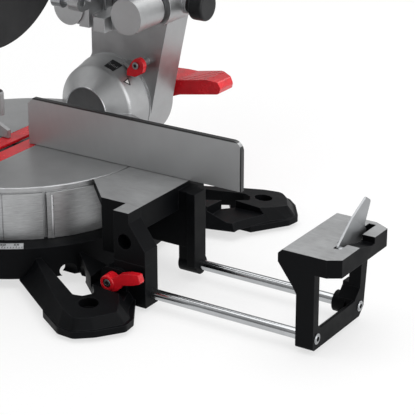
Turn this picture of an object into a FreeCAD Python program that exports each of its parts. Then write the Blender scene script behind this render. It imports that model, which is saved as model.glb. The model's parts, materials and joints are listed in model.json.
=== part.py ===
import FreeCAD, Part
import math
import os
from FreeCAD import Placement, Rotation, Vector

# Sliding mitre saw, millimetres. +X is the saw's right, +Y its back, +Z up.
# The origin is on the bench, under the mitre axis, at the centre of the four bench-bolt holes.

SIZES = {
    # table and turntable
    "table_height": 95.0, "fence_face": -5.0, "table_radius": 137.0, "table_plate": 8.0,
    "skirt_wall": 6.0, "pocket_gap": 2.0, "turn_gap": 0.3, "groove_depth": 1.4, "groove_drop": 5.5,
    "arm_root_half": 38.0, "arm_tip_half": 30.0, "arm_length": 330.0, "arm_wall": 5.0,
    "arm_bottom": 34.0, "lock_z": 37.0, "lock_shaft": 4.0, "detent_reach": -114.5, "detent_y": -240.0,
    "detent_z": 71.0, "kerf_half": 13.0, "kerf_plate_half": 22.0, "kerf_plate_thick": 3.0,
    "kerf_slot_half": 4.5, "kerf_front": 316.0, "kerf_back": 44.0, "boss_radius": 22.0,
    # base ring, wings and feet
    "ring_radius": 158.0, "ring_wall": 12.0, "ring_bottom": 10.0, "ledge_top": 41.0,
    "ledge_inner": 118.0, "ledge_plate": 6.0, "hub_radius": 20.0, "spider_width": 14.0,
    "wing_edge": 208.0, "apron_left": 163.0, "wall_front": -40.0, "wing_back": 22.0, "wing_front": -85.0,
    "column_left": 191.0,
    "column_right": 226.0, "column_front": -105.0, "column_foot": 4.0, "column_slope_top": 85.0,
    "column_slope_end": 60.0, "head_seat": 46.0, "beam_bottom": 34.0, "beam_front": -23.0,
    "beam_end": 219.0,
    "bracket_right": 228.0, "foot_rise": 22.0, "foot_flange": 6.0, "foot_clear": 4.0,
    "bench_x": 197.0, "bench_y": 154.0, "bench_hole": 4.5, "pad_radius": 14.0, "boss_foot": 8.5,
    "socket_radius": 7.5,
    # extension rods and clamp
    "rod_radius": 5.0, "rod_z": 15.0, "rod_front": -93.0, "rod_rear": -13.0, "rod_seat": 2.0,
    "rod_inner_front": 178.0, "rod_inner_rear": 219.0, "run_gap": 0.05, "clamp_x": 192.0,
    "clamp_z": 27.0, "clamp_boss_front": -108.0, "clamp_screw": 3.0,
    # end frame and its folding stop
    "frame_front": -99.4, "frame_outer": 422.5, "frame_lip": 22.5, "leg_depth": 18.0,
    "shelf_depth": 15.0, "bar_height": 17.0, "frame_foot": 4.6, "slot_lip": 19.5,
    "slot_width": 7.0, "stop_pivot_y": -66.0, "stop_pivot_drop": 5.0, "stop_sheet": 2.0,
    # fence
    "fence_thick": 5.0, "fence_top": 145.0, "fence_inner": 14.0, "fence_slant": 7.0, "fence_outer": 267.0,
    "fence_gap": 0.5, "fence_low_top": 118.0, "slider_outer": 250.0, "bevel_relief": 34.0,
    # trunnion and bevel arm
    "dome_front": 110.0, "dome_disc": 26.6, "dome_shoulder_y": 128.0, "dome_shoulder": 46.0,
    "dome_back": 155.0, "hub_size": 52.0, "arm_back": 200.0, "arm_face": 158.0, "pivot_radius": 8.0,
    "housing_front": 150.0, "housing_back": 214.0, "rail_z": 210.0, "rail_left": -12.0,
    "rail_right": 62.0, "rail_radius": 12.0, "rail_boss": 22.0, "bush_wall": 3.0,
    "bush_length": 14.0, "rail_front": 102.0, "rail_back": 452.0,
    # carriage and chop pivot
    "carriage_front": 100.0, "carriage_back": 143.0, "chop_y": 118.0, "chop_z": 250.0,
    "chop_pin": 6.0, "knuckle": 16.0, "knuckle_left": 14.0, "knuckle_right": 50.0,
    "lug_thick": 13.0, "spring_room": 17.0, "spring_wire": 1.5, "spring_coil": 10.0, "head_rise": 42.0,
    # head, in its lowered pose
    "arbor_y": -43.0, "arbor_z": 196.0, "motor_dy": 16.0, "motor_dz": 30.0,
    "gearcase_left": 14.0, "gearcase_right": 52.0, "gearcase_radius": 34.0, "gearcase_wall": 3.5,
    "blade_radius": 108.0, "blade_thick": 1.8, "blade_bore": 15.0, "tooth_depth": 7.0,
    "guard_radius": 119.0, "guard_wall": 2.5, "guard_left": -14.0, "guard_right": 14.0,
    "shroud_radius": 114.0, "shroud_half": 10.0, "shroud_wall": 1.8, "shroud_hub": 23.0,
    "motor_radius": 42.0, "motor_wall": 3.0, "motor_end": 172.0, "cap_length": 18.0,
    "spindle_radius": 7.0, "gear_radius": 28.0, "pinion_radius": 6.0, "gear_face": 12.0,
}
BLADE_TEETH = 40

doc = FreeCAD.newDocument("SlidingMitreSaw")
sheet = doc.addObject("Spreadsheet::Sheet", "dims")
for row, (alias, number) in enumerate(SIZES.items(), 1):
    sheet.set(f"A{row}", alias)
    sheet.set(f"B{row}", str(number))
    sheet.setAlias(f"B{row}", alias)
doc.recompute()


class Size:
    """A size from the sheet, kept as its number and its expression together."""

    def __init__(self, number, text):
        self.number = float(number)
        self.text = text

    def __float__(self):
        return self.number

    def __add__(self, other):
        return Size(self.number + float(other), f"({self.text} + {text_of(other)})")

    def __sub__(self, other):
        return Size(self.number - float(other), f"({self.text} - {text_of(other)})")

    def __rsub__(self, other):
        return Size(float(other) - self.number, f"({text_of(other)} - {self.text})")

    def __mul__(self, other):
        return Size(self.number * float(other), f"({self.text} * {text_of(other)})")

    def __neg__(self):
        return Size(-self.number, f"(0 - {self.text})")

    __radd__ = __add__
    __rmul__ = __mul__


def text_of(value):
    return value.text if isinstance(value, Size) else f"({value:.6g})"


class Sheet:
    """Sizes by name: d.table_height and so on."""


d = Sheet()
for alias, number in SIZES.items():
    setattr(d, alias, Size(number, "dims." + alias))
# The end frame's legs, shelf, slot and rod seats follow its outer face.
d.leg_outer = d.frame_outer - d.frame_lip
d.leg_inner = d.leg_outer - d.leg_depth
d.shelf_inner = d.leg_inner - d.shelf_depth
d.slot_left = d.frame_outer - d.slot_lip
d.slot_right = d.slot_left + d.slot_width
d.rod_end = d.leg_outer - d.rod_seat

PARTS = []
AXIS_TURN = {"x": Rotation(Vector(0, 1, 0), 90), "y": Rotation(Vector(1, 0, 0), -90), "z": Rotation()}


def bind(obj, prop, value):
    """Give a property a number, or tie it to the sheet."""
    if isinstance(value, Size):
        obj.setExpression(prop, value.text)
    elif prop.startswith("Placement.Base."):
        base = obj.Placement.Base
        setattr(base, prop[-1], float(value))
        obj.Placement = Placement(base, obj.Placement.Rotation)
    else:
        setattr(obj, prop, float(value))


def move(obj, at, turn=None):
    """Place an object at a point given in sheet sizes."""
    if turn is not None:
        obj.Placement = Placement(Vector(), turn)
    for axis, value in zip("xyz", at):
        bind(obj, "Placement.Base." + axis, value)
    return obj


def box(x, y, z):
    """A box between two limits on each axis."""
    obj = doc.addObject("Part::Box", "box")
    for prop, limits in zip(("Length", "Width", "Height"), (x, y, z)):
        bind(obj, prop, limits[1] - limits[0])
    return move(obj, (x[0], y[0], z[0]))


def rod(axis, radius, start, end, across, angle=360, from_angle=0):
    """A cylinder along an axis, from start to end, at the two other coordinates."""
    obj = doc.addObject("Part::Cylinder", "rod")
    bind(obj, "Radius", radius)
    bind(obj, "Height", end - start)
    obj.Angle = angle
    at = list(across)
    at.insert("xyz".index(axis), start)
    turn = AXIS_TURN[axis].multiply(Rotation(Vector(0, 0, 1), from_angle))
    return move(obj, at, turn)


def fuse(*items):
    obj = doc.addObject("Part::MultiFuse", "fuse")
    obj.Shapes = list(items)
    return obj


def cut(base, *tools):
    obj = doc.addObject("Part::Cut", "cut")
    obj.Base = base
    obj.Tool = tools[0] if len(tools) == 1 else fuse(*tools)
    return obj


def common(first, second):
    obj = doc.addObject("Part::Common", "common")
    obj.Base, obj.Tool = first, second
    return obj


def tube(axis, outer, inner, start, end, across, angle=360, from_angle=0):
    return cut(rod(axis, outer, start, end, across, angle, from_angle),
               rod(axis, inner, start, end, across))


def group(*items):
    obj = doc.addObject("Part::Compound", "group")
    obj.Links = list(items)
    return obj


def mirror(source, normal=(1, 0, 0)):
    obj = doc.addObject("Part::Mirroring", "mirror")
    obj.Source = source
    obj.Normal = Vector(*normal)
    return obj


def moved(source, at=(0, 0, 0), turn=Rotation(), centre=(0, 0, 0)):
    """A copy link of one object, turned about a centre and shifted."""
    obj = group(source)
    pivot = Vector(*[float(v) for v in centre])
    shift = Placement(Vector(*[float(v) for v in at]), Rotation())
    obj.Placement = shift.multiply(Placement(Vector(), turn, pivot))
    return obj


def corner_edges(points):
    """Edges through (x, y) or (x, y, radius) corners, each radius as a tangent arc."""
    corners = [(Vector(float(p[0]), float(p[1]), 0), float(p[2]) if len(p) > 2 else 0.0) for p in points]
    joins = []
    for i, (corner, radius) in enumerate(corners):
        before = (corners[i - 1][0] - corner).normalize()
        after = (corners[(i + 1) % len(corners)][0] - corner).normalize()
        if radius <= 0:
            joins.append((corner, None, corner))
            continue
        half = before.getAngle(after) / 2
        reach = radius / math.tan(half)
        middle = (before + after).normalize()
        tip = corner + middle * (radius / math.sin(half) - radius)
        joins.append((corner + before * reach, tip, corner + after * reach))
    edges = []
    for i, (start, tip, end) in enumerate(joins):
        if tip is not None:
            edges.append(Part.Arc(start, tip, end))
        following = joins[(i + 1) % len(joins)][0]
        if (following - end).Length > 1e-6:
            edges.append(Part.LineSegment(end, following))
    return edges


PLANE_TURN = {
    "xy": Rotation(),
    "xz": Rotation(Vector(1, 0, 0), 90),
    "yz": Rotation(Vector(1, 1, 1), 120),
}


def prism(plane, points, start, end, taper=0):
    """An outline drawn in a plane, padded from start to end along the plane's normal."""
    sketch = doc.addObject("Sketcher::SketchObject", "outline")
    sketch.addGeometry(corner_edges(points), False)
    sketch.Placement = Placement(Vector(), PLANE_TURN[plane])
    normal = {"xy": "z", "xz": "y", "yz": "x"}[plane]
    bind(sketch, "Placement.Base." + normal, start)
    obj = doc.addObject("Part::Extrusion", "prism")
    obj.Base = sketch
    obj.DirMode = "Custom"
    obj.Dir = Vector(*[float(axis == normal) for axis in "xyz"])
    obj.Solid = True
    obj.TaperAngle = taper
    bind(obj, "LengthFwd", end - start)
    return obj


def turned(axis, profile, across=(0, 0), start=0):
    """A PartDesign revolution of (radius, along) points about an axis."""
    body = doc.addObject("PartDesign::Body", "turned")
    sketch = body.newObject("Sketcher::SketchObject", "profile")
    plane = [f for f in body.Origin.OriginFeatures if f.Role == "XZ_Plane"][0]
    sketch.AttachmentSupport = [(plane, "")]
    sketch.MapMode = "FlatFace"
    sketch.addGeometry(corner_edges(profile), False)
    spin = body.newObject("PartDesign::Revolution", "spin")
    spin.Profile = sketch
    spin.ReferenceAxis = (sketch, ["V_Axis"])
    spin.Angle = 360
    body.Tip = spin
    at = list(across)
    at.insert("xyz".index(axis), start)
    return move(body, at, AXIS_TURN[axis])


def solid_of(shape, name):
    """A shape made with Part's own functions, for outlines of many teeth or turns."""
    obj = doc.addObject("Part::Feature", name)
    obj.Shape = shape
    return obj


def keep(obj, name):
    """Name a finished sub-part."""
    obj.Label = name
    PARTS.append(obj)
    return obj


def keep_head(obj, name):
    """Name a sub-part of the head, swung up from the lowered pose that it is drawn in."""
    raised = group(obj)
    pivot = Vector(0, float(d.chop_y), float(d.chop_z))
    raised.Placement = Placement(Vector(), Rotation(Vector(1, 0, 0), -float(d.head_rise)), pivot)
    return keep(raised, name)


def keep_sides(obj, name):
    """Keep a right-hand piece and its mirrored left-hand one."""
    keep(mirror(obj), name + "_left")
    keep(obj, name + "_right")


# Base: ring with its spider, two wings, four looped feet
def base_ring():
    wall = tube("z", d.ring_radius, d.ring_radius - d.ring_wall, d.ring_bottom, d.ledge_top, (0, 0))
    ledge = tube("z", d.ring_radius, d.ledge_inner, d.ledge_top - d.ledge_plate, d.ledge_top, (0, 0))
    hub = rod("z", d.hub_radius, d.ledge_top - 17, d.ledge_top, (0, 0))
    arms = []
    for angle in (30, 90, 150, 210, 270, 330):
        arm = box((10, d.ledge_inner + 4), (-d.spider_width * 0.5, d.spider_width * 0.5),
                  (d.ledge_top - 17, d.ledge_top - 6))
        arms.append(moved(arm, turn=Rotation(Vector(0, 0, 1), angle)))
    return fuse(wall, ledge, hub, *arms)


def base_wing():
    top = d.table_height
    pocket = d.table_radius + d.pocket_gap
    # The front corner slants, so that the arm can turn past it.
    plate = prism("xy", [(d.apron_left, d.wing_front), (d.column_left, d.wing_front),
                         (d.column_left, d.column_front), (d.wing_edge, d.column_front),
                         (d.wing_edge, d.wing_back), (110, d.wing_back), (110, d.wall_front + 10),
                         (d.apron_left - 35, d.wing_front + 35)], top - d.table_plate, top)
    plate = cut(plate, rod("z", pocket, top - 30, top + 10, (0, 0)))
    wall = common(tube("z", pocket + 7, pocket, d.ledge_top, top, (0, 0)),
                  box((95, 165), (d.wall_front, d.wing_back), (d.ledge_top, top)))
    column = prism("xz", [(d.column_left, d.column_foot), (d.column_right, d.column_foot),
                          (d.column_right, d.column_slope_end), (d.wing_edge, d.column_slope_top),
                          (d.wing_edge, top), (d.column_left, top)], d.column_front, d.wing_front)
    apron = box((d.apron_left, d.column_left + 6), (d.wing_front, d.wing_front + 6), (d.ledge_top, top - 4))
    clamp = prism("xz", [(d.rod_inner_front, d.column_foot), (d.clamp_x + 14, d.column_foot),
                         (d.clamp_x + 14, d.clamp_z + 11, 8), (d.rod_inner_front, d.clamp_z + 11, 8)],
                  d.clamp_boss_front, d.wing_front)
    beam = cut(box((125, d.beam_end), (d.beam_front, 0), (d.beam_bottom, top - 4)),
               box((150, d.beam_end - 8), (d.beam_front + 6, 10), (d.beam_bottom - 1, top - d.table_plate)))
    bracket = box((d.beam_end, d.bracket_right), (d.rod_rear - 12, d.rod_rear + 7), (d.rod_z, top - 4))
    grip = fuse(rod("x", 9.5, d.beam_end - 12, d.bracket_right, (d.rod_rear, d.rod_z)),
                box((d.beam_end - 12, d.bracket_right), (d.rod_rear - 8, d.rod_rear + 7),
                    (d.rod_z, d.beam_bottom + 3)))
    rear = box((134, d.wing_edge - 6), (d.wing_back - 6, d.wing_back), (d.ledge_top, top - 4))
    ribs = [box((x, x + 5), (0, d.wing_back - 3), (d.beam_bottom + 20, top - 4)) for x in (156, 190)]
    ribs.append(box((d.wing_edge - 8, d.wing_edge), (d.wing_front - 4, d.wing_back), (top - 24, top - 4)))
    return fuse(plate, wall, column, apron, clamp, beam, bracket, grip, rear, *ribs)


def base_foot():
    foot_top = d.ring_bottom + d.foot_rise
    arm = prism("xy", [(88, -118), (96, -129, 3), (157, -170, 4), (189, -189, 7), (206, -190, 7),
                       (220, -178, 7),
                       (236, -154, 7), (234, -141, 5), (222, -127), (206, -88), (206, -82), (122, -60)],
                d.ring_bottom, foot_top, taper=-38)
    # The foot's back falls from the ring to the pad.
    slope = box((-120, 120), (-160, 160), (0, 40))
    slope = moved(slope, at=(106, -122, 30.4), turn=Rotation(Vector(0, 0, 1),
                                                             -45).multiply(Rotation(Vector(0, 1, 0), 5.5)))
    flange = prism("xy", [(150, -160), (157, -171, 3), (189, -191, 8), (207, -192, 8), (222, -179, 8),
                          (239, -155, 8), (237, -140, 5), (224, -120), (213, -103), (194, -103)],
                   d.foot_clear, d.ring_bottom + 0.5)
    slot = prism("xy", [(106, -110), (128, -78), (172, -116, 6), (191, -137, 5), (185, -147, 4),
                        (176, -150, 4)],
                 0, 60)
    neck = cut(rod("z", d.ring_radius + 160, 0, 60, (0, 0)), rod("z", d.ring_radius - 6, -1, 61, (0, 0)))
    lever_room = box((170, 245), (-125, d.wing_front), (d.clamp_z - 10, 60))
    body = common(fuse(cut(arm, slope, lever_room), flange), neck)
    hole = fuse(rod("z", d.bench_hole, 0, 60, (d.bench_x, -d.bench_y)),
                rod("z", 9.5, 14, 60, (d.bench_x, -d.bench_y)))
    return cut(fuse(cut(fuse(body, foot_land()), slot), foot_boss()), hole)


def foot_land():
    """The solid seat round the bench-bolt hole."""
    return rod("z", 15, d.foot_clear, 14, (d.bench_x, -d.bench_y))


def foot_boss():
    """The boss that carries the bolt hole down to the bench, inside the rubber ring."""
    return rod("z", d.boss_foot, 0, 14, (d.bench_x, -d.bench_y))


def make_base():
    wing = base_wing()
    foot = base_foot()
    half = fuse(wing, foot, mirror(foot, (0, 1, 0)))
    whole = fuse(base_ring(), half, mirror(half))
    reach = d.column_right + 10
    holes = [rod("x", d.rod_radius + d.run_gap, -reach, reach, (d.rod_front, d.rod_z)),
             rod("x", d.rod_radius + 2, -(d.rod_inner_front - 1), d.rod_inner_front - 1,
                 (d.rod_front, d.rod_z)),
             rod("x", d.rod_radius + d.run_gap, -reach, reach, (d.rod_rear, d.rod_z)),
             rod("x", d.rod_radius + 2, -(d.beam_end - 13), d.beam_end - 13, (d.rod_rear, d.rod_z)),
             rod("z", d.rod_radius + d.run_gap, 0, 60, (0, 0)),
             rod("z", d.table_radius + d.pocket_gap, d.ledge_top, d.table_height + 5, (0, 0))]
    for side in (1, -1):
        holes.append(rod("y", d.clamp_screw + d.run_gap, d.clamp_boss_front - 1, d.wing_front - 4,
                         (side * d.clamp_x, d.clamp_z)))
        holes.append(rod("y", d.socket_radius, d.column_front - 1, d.column_front + 14,
                         (side * 203, d.table_height - 29)))
        for x in (163, 188):
            holes.append(rod("z", 3, d.table_height - 12, d.table_height + 5, (side * x, 12)))
        split = sorted((side * (d.rod_inner_front - 1), side * (d.clamp_x + 12)), key=float)
        holes.append(box(split, (d.clamp_boss_front - 1, d.rod_front), (d.rod_z - 0.7, d.rod_z + 0.7)))
    # Detent notches; the last one on each side is wide enough for the turn's own stop.
    for angle, half in ((0, 3.4), (15, 3.4), (22.5, 3.4), (31.6, 3.4), (46.2, 7.5)):
        for side in (1, -1) if angle else (1,):
            notch = box((-half, half), (d.detent_reach - 7.5, d.detent_reach + 5),
                        (d.ledge_top - 10, d.ledge_top + 1))
            holes.append(moved(notch, turn=Rotation(Vector(0, 0, 1), side * angle)))
    casting = cut(whole, *holes)
    # The head of each side column, with its accessory socket, is a block seated on the column.
    rooms = [box(sorted((side * d.column_left, side * (d.column_right + 1)), key=float),
                 (d.column_front - 1, d.wing_front), (d.head_seat, d.table_height + 1)) for side in (1, -1)]
    heads = [common(casting, room) for room in rooms]
    keep(group(cut(casting, *rooms), *heads), "base_casting")
    pads = [tube("z", d.pad_radius, d.boss_foot, 0, d.foot_clear, (sx * d.bench_x, sy * d.bench_y))
            for sx in (1, -1) for sy in (1, -1)]
    keep(group(*pads), "rubber_feet")
    scale = cut(rod("z", d.ring_radius - 0.5, d.ledge_top, d.ledge_top + 0.8, (0, 0), 105, -156.5),
                rod("z", d.table_radius + 8.5, d.ledge_top - 1, d.ledge_top + 2, (0, 0)))
    keep(scale, "mitre_scale")
    bolt = fuse(rod("z", d.rod_radius, d.ledge_top - 23, 62, (0, 0)), rod("z", 8.5, 54.3, 62, (0, 0)))
    nut = prism("xy", hexagon(8), d.ledge_top - 25, d.ledge_top - 17)
    keep(fuse(bolt, nut), "mitre_pivot_bolt")


def hexagon(radius, centre=(0, 0)):
    turns = [math.radians(60 * i) for i in range(6)]
    return [(centre[0] + radius * math.cos(a), centre[1] + radius * math.sin(a)) for a in turns]


# Fences: right half fixed, left half in a fixed lower and a sliding upper piece
def fence_half(top, outer, rib_drop):
    low = d.table_height + d.fence_gap
    back = d.fence_face + d.fence_thick
    face = prism("xz", [(d.fence_inner, low), (outer, low), (outer, top, 10),
                        (d.fence_inner + d.fence_slant, top),
                        (d.fence_inner, top - d.fence_slant)], d.fence_face, back)
    foot = box((147, d.wing_edge - 3), (back - 1, back + 18), (d.table_height, d.table_height + 6))
    ribs = [prism("yz", [(back - 1, d.table_height + 5), (back + 14, d.table_height + 5),
                         (back - 1, top - rib_drop)],
                  x, x + 5) for x in (150, 171, 199)]
    holes = []
    for x in (163, 188):
        holes.append(rod("z", 3, d.table_height - 1, d.table_height + 8, (x, 12)))
        holes.append(rod("z", 5, d.table_height + 2, d.table_height + 8, (x, 12)))
    return cut(fuse(face, foot, *ribs), *holes)


def make_fences():
    back = d.fence_face + d.fence_thick
    keep(fence_half(d.fence_top, d.fence_outer, 8), "fence_right")
    relief = prism("xz", [(d.fence_inner - 1, d.table_height + 8),
                          (d.fence_inner + d.bevel_relief, d.fence_low_top + 1),
                          (d.fence_inner - 1, d.fence_low_top + 1)], d.fence_face - 1, back + 1)
    keep(mirror(cut(fence_half(d.fence_low_top, d.fence_outer, 13), relief)), "fence_left_lower")
    low = d.fence_low_top + 0.3
    inner = d.fence_inner + d.fence_slant
    face = prism("xz", [(-d.slider_outer, low), (-inner, low), (-inner, d.fence_top, 4),
                        (-d.slider_outer, d.fence_top, 10)], d.fence_face, back)
    guide = box((-185, -145), (back + 0.3, back + 9), (d.table_height + 12, d.fence_top - 6))
    link = box((-185, -145), (back - 1, back + 1), (low, d.fence_top - 6))
    knob_at = (-165, d.fence_low_top - 5.5)
    screw_hole = rod("y", 3 + d.run_gap, back, back + 10, knob_at)
    keep(cut(fuse(face, guide, link), screw_hole), "fence_left_slider")
    knob = turned("y", [(0, 9.3), (6, 9.3), (6, 12), (11, 13, 1), (11, 24, 2), (0, 24)], knob_at, back)
    shank = rod("y", 3, back + 0.3, back + 10, knob_at)
    keep(fuse(knob, shank), "fence_lock_knob")
    bolts = []
    for x in (-188, -163, 163, 188):
        shank = rod("z", 3, d.table_height - 12, d.table_height + 4, (x, 12))
        head = rod("z", 5, d.table_height + 2, d.table_height + 6, (x, 12))
        socket = rod("z", 2.5, d.table_height + 3.5, d.table_height + 7, (x, 12))
        bolts.append(cut(fuse(shank, head), socket))
    keep(group(*bolts), "fence_bolts")


# Turntable: grooved disc with skirt, front arm, trunnion dome
def make_turntable():
    top = d.table_height
    low = d.ledge_top + d.turn_gap
    edge = d.table_radius
    disc = turned("z", [(0, top - d.table_plate), (edge - d.skirt_wall, top - d.table_plate),
                        (edge - d.skirt_wall, low), (edge, low), (edge, top - d.groove_drop - 1),
                        (edge - d.groove_depth, top - d.groove_drop - 0.6),
                        (edge - d.groove_depth, top - d.groove_drop + 0.4),
                        (edge, top - d.groove_drop + 0.8), (edge, top, 1), (0, top)])
    boss = rod("z", d.boss_radius, low, top - 15, (0, 0))
    ribs = [box((15, edge - 3), (-3, 3), (62, top - 4)), box((-(edge - 3), -15), (-3, 3), (62, top - 4))]
    outer = prism("xy", [(-d.arm_root_half, -118), (d.arm_root_half, -118),
                         (d.arm_tip_half, -d.arm_length, 10),
                         (-d.arm_tip_half, -d.arm_length, 10)], d.arm_bottom, top)
    inner = prism("xy", [(d.arm_wall - d.arm_root_half, -110), (d.arm_root_half - d.arm_wall, -110),
                         (d.arm_tip_half - d.arm_wall, d.arm_wall - d.arm_length, 5),
                         (d.arm_wall - d.arm_tip_half, d.arm_wall - d.arm_length, 5)],
                  d.arm_bottom - 1, top - d.table_plate)
    arm = cut(outer, inner, rod("z", d.ring_radius + 3, 0, d.ledge_top + 4, (0, 0)))
    nose = rod("y", 11, -d.arm_length - 4, -d.arm_length + 22, (0, d.lock_z))
    dome = turned("y", [(0, d.dome_front), (d.dome_disc, d.dome_front, 1),
                        (d.dome_shoulder, d.dome_shoulder_y, 7),
                        (d.hub_size - 0.3, d.dome_back), (0, d.dome_back)], (0, top))
    cheeks = prism("xz", [(-50, low), (50, low), (50, top - 10, 6), (-50, top - 10, 6)], 105, d.dome_back)
    # An upright bead stands on the drum beside each stop groove.
    beads = [moved(box((-1.2, 1.2), (-edge - 0.8, 2 - edge), (low, top - d.groove_drop - 1)),
                   turn=Rotation(Vector(0, 0, 1), side * 50.5)) for side in (1, -1)]
    whole = fuse(disc, boss, arm, nose, dome, cheeks, *beads, *ribs)
    holes = [box((-d.kerf_plate_half - 0.3, d.kerf_plate_half + 0.3),
                 (-d.kerf_front - 0.5, d.kerf_back + 0.5),
                 (top - d.kerf_plate_thick, top + 1)),
             box((-d.kerf_half, d.kerf_half), (-d.kerf_front + 6, d.kerf_back - 4), (top - 14, top)),
             rod("z", d.rod_radius + d.run_gap, low - 1, 60, (0, 0)),
             rod("z", 10, 54, top, (0, 0)),
             rod("y", d.lock_shaft + d.run_gap, -d.arm_length - 20, -d.arm_length + 30, (0, d.lock_z)),
             rod("x", 3 + d.run_gap, -d.arm_root_half, d.arm_root_half, (d.detent_y, d.detent_z)),
             box((-7.5, 7.5), (-edge - 2, d.skirt_wall + 2 - edge), (d.detent_z - 9, d.detent_z + 6)),
             box((-7.5, 7.5), (-d.arm_length - 1, -d.arm_length + 8), (d.detent_z - 8, d.detent_z + 9)),
             rod("y", d.pivot_radius + d.run_gap, d.dome_front + 12, d.dome_back + 1, (0, top))]
    for angle, width, depth in ((47.5, 3.6, 3), (30.6, 0.8, 0.7)):
        for side in (1, -1):
            slit = box((-width / 2, width / 2), (-edge - 2, depth - edge),
                       (low - 1, top - d.groove_drop - 0.8))
            holes.append(moved(slit, turn=Rotation(Vector(0, 0, 1), side * angle)))
    keep(cut(whole, *holes), "turntable_casting")
    plates = []
    for side in (1, -1):
        limits = sorted((side * float(d.kerf_slot_half), side * float(d.kerf_plate_half)))
        plate = box((limits[0], limits[1]), (-d.kerf_front, d.kerf_back),
                    (top - d.kerf_plate_thick, top - 0.2))
        plates.append(plate)
    keep(group(*plates), "kerf_plates")
    # The bevel scale is a plate on the dome's tapering side.
    widening = float(d.hub_size) - float(d.dome_shoulder) - 0.3
    taper = widening / (float(d.dome_back) - float(d.dome_shoulder_y))
    near, far = 4.0, 19.0
    low_r, high_r = [d.dome_shoulder + taper * y for y in (near, far)]
    shell = turned("y", [(low_r, near), (low_r + 0.6, near), (high_r + 0.6, far), (high_r, far)],
                   (0, top), d.dome_shoulder_y)
    window = prism("xz", [(6, top + 30), (15, top + 30), (30, top + 60), (12, top + 60)], 100, d.dome_back)
    keep(common(shell, window), "bevel_scale")
    bolt = fuse(rod("y", d.pivot_radius, d.dome_front + 12, d.arm_back + 56, (0, top)),
                prism("xz", hexagon(13, (0, top)), d.arm_back + 48.5, d.arm_back + 56))
    keep(bolt, "bevel_pivot_bolt")
    pointer = prism("xy", [(-5, -140), (5, -140), (0, -150)], d.ledge_top + 2.2, d.ledge_top + 3.4)
    stem = box((-5, 5), (-edge - 3, -edge + 3), (d.ledge_top + 2.2, d.ledge_top + 12))
    whole = cut(fuse(pointer, stem), rod("z", edge, 0, top, (0, 0)))
    keep(moved(whole, turn=Rotation(Vector(0, 0, 1), -19)), "mitre_pointer")


# Mitre lock knob with its shaft, and the detent lever under the arm's end
def make_mitre_lock():
    knob = turned("y", [(0, -75), (17, -75, 4), (22, -68, 4), (22, -40, 4), (14, -30, 3), (14, -26),
                        (0, -26)],
                  (0, d.lock_z), -d.arm_length + 12)
    flutes = [rod("y", 4.5, -d.arm_length - 66, -d.arm_length - 20,
                  (24.5 * math.cos(math.radians(a)), d.lock_z + 24.5 * math.sin(math.radians(a))))
              for a in range(0, 360, 45)]
    keep(cut(knob, *flutes), "mitre_lock_knob")
    keep(rod("y", d.lock_shaft, -d.arm_length - 14, -d.ring_radius - 0.8, (0, d.lock_z)),
         "mitre_lock_shaft")
    # The detent lever rocks on stubs in the arm's walls; it is drawn lifted, its tooth clear of the ledge.
    bar = box((-6, 6), (-d.arm_length - 2, d.detent_reach), (d.detent_z - 3, d.detent_z + 3))
    pad = prism("xy", [(-6, -d.arm_length + 4), (-14, -d.arm_length - 4, 3), (-14, -d.arm_length - 20, 6),
                       (14, -d.arm_length - 20, 6), (14, -d.arm_length - 4, 3), (6, -d.arm_length + 4)],
                d.detent_z - 3, d.detent_z + 2)
    pad = cut(pad, box((-20, 20), (-d.arm_length - 1, 0), (0, 100)))
    tooth = box((-3, 3), (d.detent_reach - 5.6, d.detent_reach), (d.ledge_top + 0.6, d.detent_z))
    stub = rod("x", 3, -d.arm_root_half + 6, d.arm_root_half - 6, (d.detent_y, d.detent_z))
    keep(fuse(bar, pad, tooth, stub), "detent_lever")


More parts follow.
